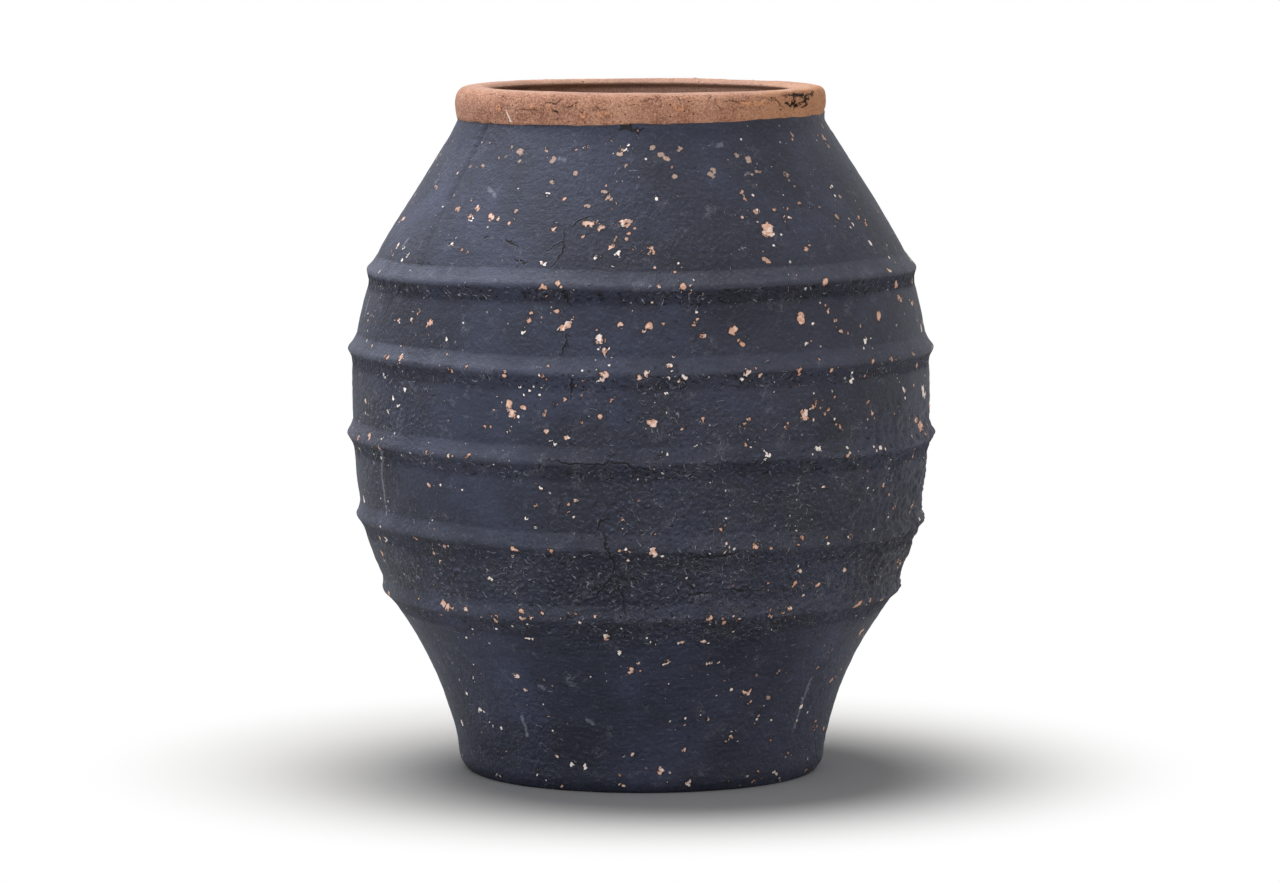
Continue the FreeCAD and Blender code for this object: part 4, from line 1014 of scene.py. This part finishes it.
# rolled rim: mm between rows, lumps by size, and marks at photograph columns and rows, size and depth in mm
rim = {"rowStep": 1.15, "roll": 0.6, "dent": 0.16, "finger": 0.12, "grit": 0.12, "undercut": 6.5,
       "outerCorner": 0.6, "rightCorner": 1.8, "innerCorner": -0.6, "crackDepth": 0.6, "scrapeRise": 0.55,
       "gouges": [(793, 104, 1.9, 2.6), (797, 107, 2.1, 2.8), (791, 107, 1.4, 2.0), (801, 104, 1.2, 1.8),
                  (806, 101, 1.4, 2.0), (808, 106, 1.0, 1.4), (785, 97, 0.9, 1.2), (789, 96.5, 1.0, 1.4),
                  (794, 97.5, 1.0, 1.5), (800, 97, 0.9, 1.4), (806, 96, 0.9, 1.4), (811, 95, 0.8, 1.2),
                  (781, 112, 0.8, 1.0), (771, 98, 0.7, 0.9), (490, 95, 0.5, 0.5), (504, 97, 0.6, 0.5),
                  (582, 113, 0.6, 0.6)],
       "cracks": {"knotTop": (1.6, [(782, 97), (790, 96), (800, 96.5), (812, 94.5)]),
                  "knotHeart": (2.4, [(792, 97), (795, 105), (794, 113)]),
                  "knotArm": (1.5, [(797, 104), (804, 101), (811, 96)]),
                  "knotFoot": (1.4, [(801, 110), (808, 105)]),
                  "knotLeft": (0.8, [(772, 99), (778, 103), (784, 108)]),
                  "knotLow": (1.2, [(785, 103), (790, 107)]),
                  "groove": (0.4, [(506, 110), (526, 110.5), (552, 109)]),
                  "curl": (0.8, [(708, 94), (711, 96), (709, 99)]),
                  "fork": (1.0, [(568, 108), (573, 105), (578, 103)]),
                  "forkLow": (0.95, [(552, 109), (557, 113), (560, 118)]),
                  "scratch": (0.5, [(723, 101), (736, 102), (749, 101)]),
                  "slant": (0.5, [(716, 102), (719, 106), (722, 111)]),
                  "tick": (0.8, [(674, 95), (677, 97), (679, 100)]),
                  "web": (0.7, [(541, 106), (547, 103), (556, 104), (563, 100)]),
                  "webLow": (0.45, [(590, 111), (598, 109), (607, 111)]),
                  "lip": (0.35, [(640, 103), (650, 100), (661, 101)]),
                  "knotWeb": (0.5, [(756, 101), (764, 98), (771, 101), (776, 98)])},
       "scrapes": [(498, 109, 2.4), (532, 107, 2.0), (541, 107, 2.2), (549, 107, 2.0), (574, 105, 1.6),
                   (583, 116, 2.6), (600, 115, 2.4), (607, 115, 2.0), (676, 109, 2.6), (682, 110, 2.0),
                   (656, 119, 1.8), (742, 104, 2.2), (749, 104, 2.6), (757, 105, 2.4), (763, 104, 1.8),
                   (778, 103, 2.0), (787, 100, 1.2), (800, 106, 1.3), (790, 102, 1.0), (804, 104, 1.0)],
       "nick": [(505, 107), (507, 113), (510, 120), (511, 124)],
       "unseenDents": 26, "unseenScrapes": 26, "unseenCracks": 24, "seed": 83}


def makeRim():
    name, seam, top = "rim_roll", seams[-1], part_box("rim_roll")[1][2] / mm
    side = Vector((math.cos(0.3), math.sin(0.3), 0))
    middle = (skinRadius(name, seam + 6, False) + skinRadius(name, top - 10, True)) / 2
    heart = side * middle * mm + Vector((0, 0, (seam + top) / 2 * mm))
    section = []
    # rays from the rim's heart to its CAD skin
    for turn in np.linspace(math.radians(-41), math.radians(222), 160):
        hit = skins[name].ray_cast(heart, side * math.cos(turn) + Vector((0, 0, math.sin(turn))))[0]
        section.append((hit.xy.length / mm, hit.z / mm))
    section = np.array(section)
    length = np.concatenate(([0], np.cumsum(np.linalg.norm(np.diff(section, axis=0), axis=1))))
    even = np.linspace(0, length[-1], int(length[-1] / rim["rowStep"]))
    radii, heights = np.interp(even, length, section[:, 0]), np.interp(even, length, section[:, 1])
    out = np.stack((np.gradient(heights), -np.gradient(radii)), -1)
    out = out / np.linalg.norm(out, axis=1, keepdims=True)
    rows = len(even)
    radius, height, along = allRound(radii), allRound(heights), allRound(even)
    base = spin(radius, height)
    moved = np.zeros(radius.shape)
    for key, size, seed in (("roll", 75, 81), ("dent", 24, 82), ("finger", 9, 83), ("grit", 4, 84)):
        moved += rim[key] * lumps(base, size, seed)
    # the rolled corners, the outer one squarer on the right
    outer, inner = even[np.argmax(radii + heights)], even[np.argmax(heights - radii)]
    right = step(0.5, 1.1, angles) * step(2.6, 1.9, angles)
    moved += (rim["outerCorner"] + rim["rightCorner"] * right) * np.exp(-((along - outer) / 5) ** 2)
    moved += rim["innerCorner"] * np.exp(-((along - inner) / 4) ** 2)
    maker = np.random.default_rng(rim["seed"])

    def alongRim(atRadius, atHeight):
        return float(even[np.argmin(np.hypot(radii - atRadius, heights - atHeight))])

    def hidden():
        angle = math.radians(maker.uniform(75, 285))
        return (angle + math.pi) % (2 * math.pi) - math.pi, maker.uniform(2, 30)

    holes, scrapes, nicks = [], [], []
    for column, row, size, depth in rim["gouges"]:
        spot = onPot(column, row)
        if spot:
            holes.append((spot[0], alongRim(*spot[1:]), size, depth))
    for number in range(rim["unseenDents"]):
        holes.append((*hidden(), maker.uniform(0.5, 1.4), maker.uniform(0.4, 1.6)))
    for column, row, size in rim["scrapes"]:
        spot = onPot(column, row)
        if spot:
            scrapes.append((spot[0], alongRim(*spot[1:]), size, 0))
    for number in range(rim["unseenScrapes"]):
        scrapes.append((*hidden(), maker.uniform(1.2, 2.8), 0))
    nickRun = np.array(trace(rim["nick"], alongRim, 0.1, maker))
    for part in np.linspace(0, 1, 30):  # it widens downwards
        spot = [np.interp(part * (len(nickRun) - 1), np.arange(len(nickRun)), column) for column in nickRun.T]
        nicks.append((*spot, 0.35 + 0.8 * part, 0))
    runs = [(depth, trace(line, alongRim, 0.35, maker)) for depth, line in rim["cracks"].values()]
    for number in range(rim["unseenCracks"]):
        runs.append((maker.uniform(0.5, 1.2), stray(*hidden(), radii.max(), maker.uniform(5, 22), maker)))
    for hole in holes:
        moved -= hole[3] * step(0.9, -hole[2], edgeField([hole], along, radii.max())[0])
    cracked = lineField(runs, along, radii.max())
    moved -= rim["crackDepth"] * step(1.3, 0.1, cracked["crackEdge"])
    scrapeEdge = edgeField(scrapes, along, radii.max())[0]
    moved += rim["scrapeRise"] * step(1.0, -0.6, scrapeEdge)
    # the top of the lip and its inside face get wear and a painted highlight
    fields = {**cracked, "holeEdge": edgeField(holes, along, radii.max())[0], "scrapeEdge": scrapeEdge,
              "nickEdge": edgeField(nicks, along, radii.max())[0],
              "wornAndHighlight": np.maximum(step(top - 2.4, top - 0.4, height), step(middle, middle - 4, radius))}
    # inside, the lip overhangs the neck
    inward = step(middle, middle - 6, radius) * step(top - 2.5, top - 7, height)
    radius = radius + rim["undercut"] * inward * step(seam, seam + 5, height)
    hang = np.clip(1 - even / 12, 0, 1)[:, None]
    height = height + hang * (rimEdge - seam)
    points = spin(radius + out[:, :1] * moved, height + out[:, 1:] * moved)
    wallTop = wallAt(rimEdge[None])
    foot = np.stack((np.full(turns, radii[-1] + 3), wallTop[0] - 2.5, wallTop[0] + 0.35))
    footHeight = np.stack((np.full(turns, seam), rimEdge - 0.2, rimEdge))
    points = np.concatenate((points, spin(foot, footHeight)))
    piece = makeRing("visual_rim_roll", points, rows, [rows - 1, rows], fields, [bareRim])
    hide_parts(name)


makeRim()
print("stage: rim rolled")

# studio: white paper floor, soft light from above and the left, weak fills; powers in watts, places in metres
studio = {"floorWhite": "#f2f2f2", "fadeFrom": 0.2, "fadeTo": 0.42, "ambient": 0.25, "bounceGlow": 0.75,
          "lamps": {"overhead": {"place": (-0.4, 0.5, 3.0), "size": 2.2, "power": 62, "colour": "#fffdfa"},
                    "front": {"place": (-2.45, -2.55, 2.05), "size": 1.8, "power": 74, "colour": "#f8f9ff"},
                    "leftWindow": {"place": (-1.3, 0.6, 2.1), "size": 1.3, "power": 33, "colour": "#ecf0ff"},
                    "rightFill": {"place": (3.0, -0.7, 0.8), "size": 1.6, "power": 12, "colour": "#ffe2c6"},
                    "lowFill": {"place": (1.1, -2.7, 0.25), "size": 1.4, "power": 18, "colour": "#fff6ee"}}}


def whiteRays(tree):
    # rays that see the white itself, by camera, gloss or glass, and those that carry its light
    ray = add(tree, "LightPath", out=None).outputs
    shows = add(tree, "Math", {0: ray["Is Camera Ray"], 1: ray["Is Glossy Ray"]}, operation="MAXIMUM")
    shows = add(tree, "Math", {0: shows, 1: ray["Is Transmission Ray"]}, operation="MAXIMUM")
    return shows, ray["Is Diffuse Ray"]


def makeStudio():
    scene = bpy.context.scene
    scene.view_settings.view_transform = "Standard"
    world = bpy.data.worlds.new("paleRoom")
    scene.world = world
    tree = freshTree(world)
    shows = whiteRays(tree)[0]
    strength = add(tree, "MapRange", {"Value": shows, "To Min": studio["ambient"], "To Max": 1.0})
    glow = add(tree, "Background", {"Color": (1, 1, 1, 1), "Strength": strength})
    add(tree, "OutputWorld", {"Surface": glow}, out=None)
    mesh = bpy.data.meshes.new("studioFloor")
    mesh.from_pydata([(-30, -30, 0), (30, -30, 0), (30, 30, 0), (-30, 30, 0)], [], [(0, 1, 2, 3)])
    floor = bpy.data.objects.new("studioFloor", mesh)
    scene.collection.objects.link(floor)
    # matt white paper: shows the shadow near the pot and runs out to plain white further off
    material = bpy.data.materials.new("mattWhitePaper")
    tree = freshTree(material)
    away = add(tree, "VectorMath", {0: add(tree, "TexCoord", out="Object")}, out="Value", operation="LENGTH")
    far = add(tree, "MapRange", {"Value": away, "From Min": studio["fadeFrom"], "From Max": studio["fadeTo"]},
              interpolation_type="SMOOTHSTEP")
    shows, diffuse = whiteRays(tree)
    plain = add(tree, "Emission", {"Color": (1, 1, 1, 1), "Strength": 1.0})
    paper = add(tree, "BsdfDiffuse", {"Color": hexColour(studio["floorWhite"])})
    # painted light: beyond the shadow the paper glows white for the rays that light the pot, standing in for
    # the bounce of the side lamps, which don't reach the floor
    glowUp = add(tree, "Math", {0: diffuse, 1: studio["bounceGlow"]}, operation="MULTIPLY")
    shows = add(tree, "Math", {0: shows, 1: glowUp}, operation="MAXIMUM")
    blend = add(tree, "Math", {0: far, 1: shows}, operation="MULTIPLY")
    mixed = add(tree, "MixShader", {0: blend, 1: paper, 2: plain})
    add(tree, "OutputMaterial", {"Surface": mixed}, out=None)
    mesh.materials.append(material)
    potOnly = bpy.data.collections.new("potOnly")
    for piece in [thing for thing in scene.objects if thing.name.startswith("visual_")]:
        potOnly.objects.link(piece)
    for name, lamp in studio["lamps"].items():
        data = bpy.data.lights.new(name, "AREA")
        data.shape = "DISK"
        data.size = lamp["size"]
        data.energy = lamp["power"]
        data.color = hexColour(lamp["colour"])[:3]
        light = bpy.data.objects.new(name, data)
        light.location = lamp["place"]
        light.rotation_euler = (Vector((0, 0, 0.28)) - light.location).to_track_quat("-Z", "Y").to_euler()
        scene.collection.objects.link(light)
        # the side lamps are flagged off the floor, so its shadow lies close round the foot
        if name != "overhead":
            light.light_linking.receiver_collection = potOnly


makeStudio()
print("stage: studio lit")
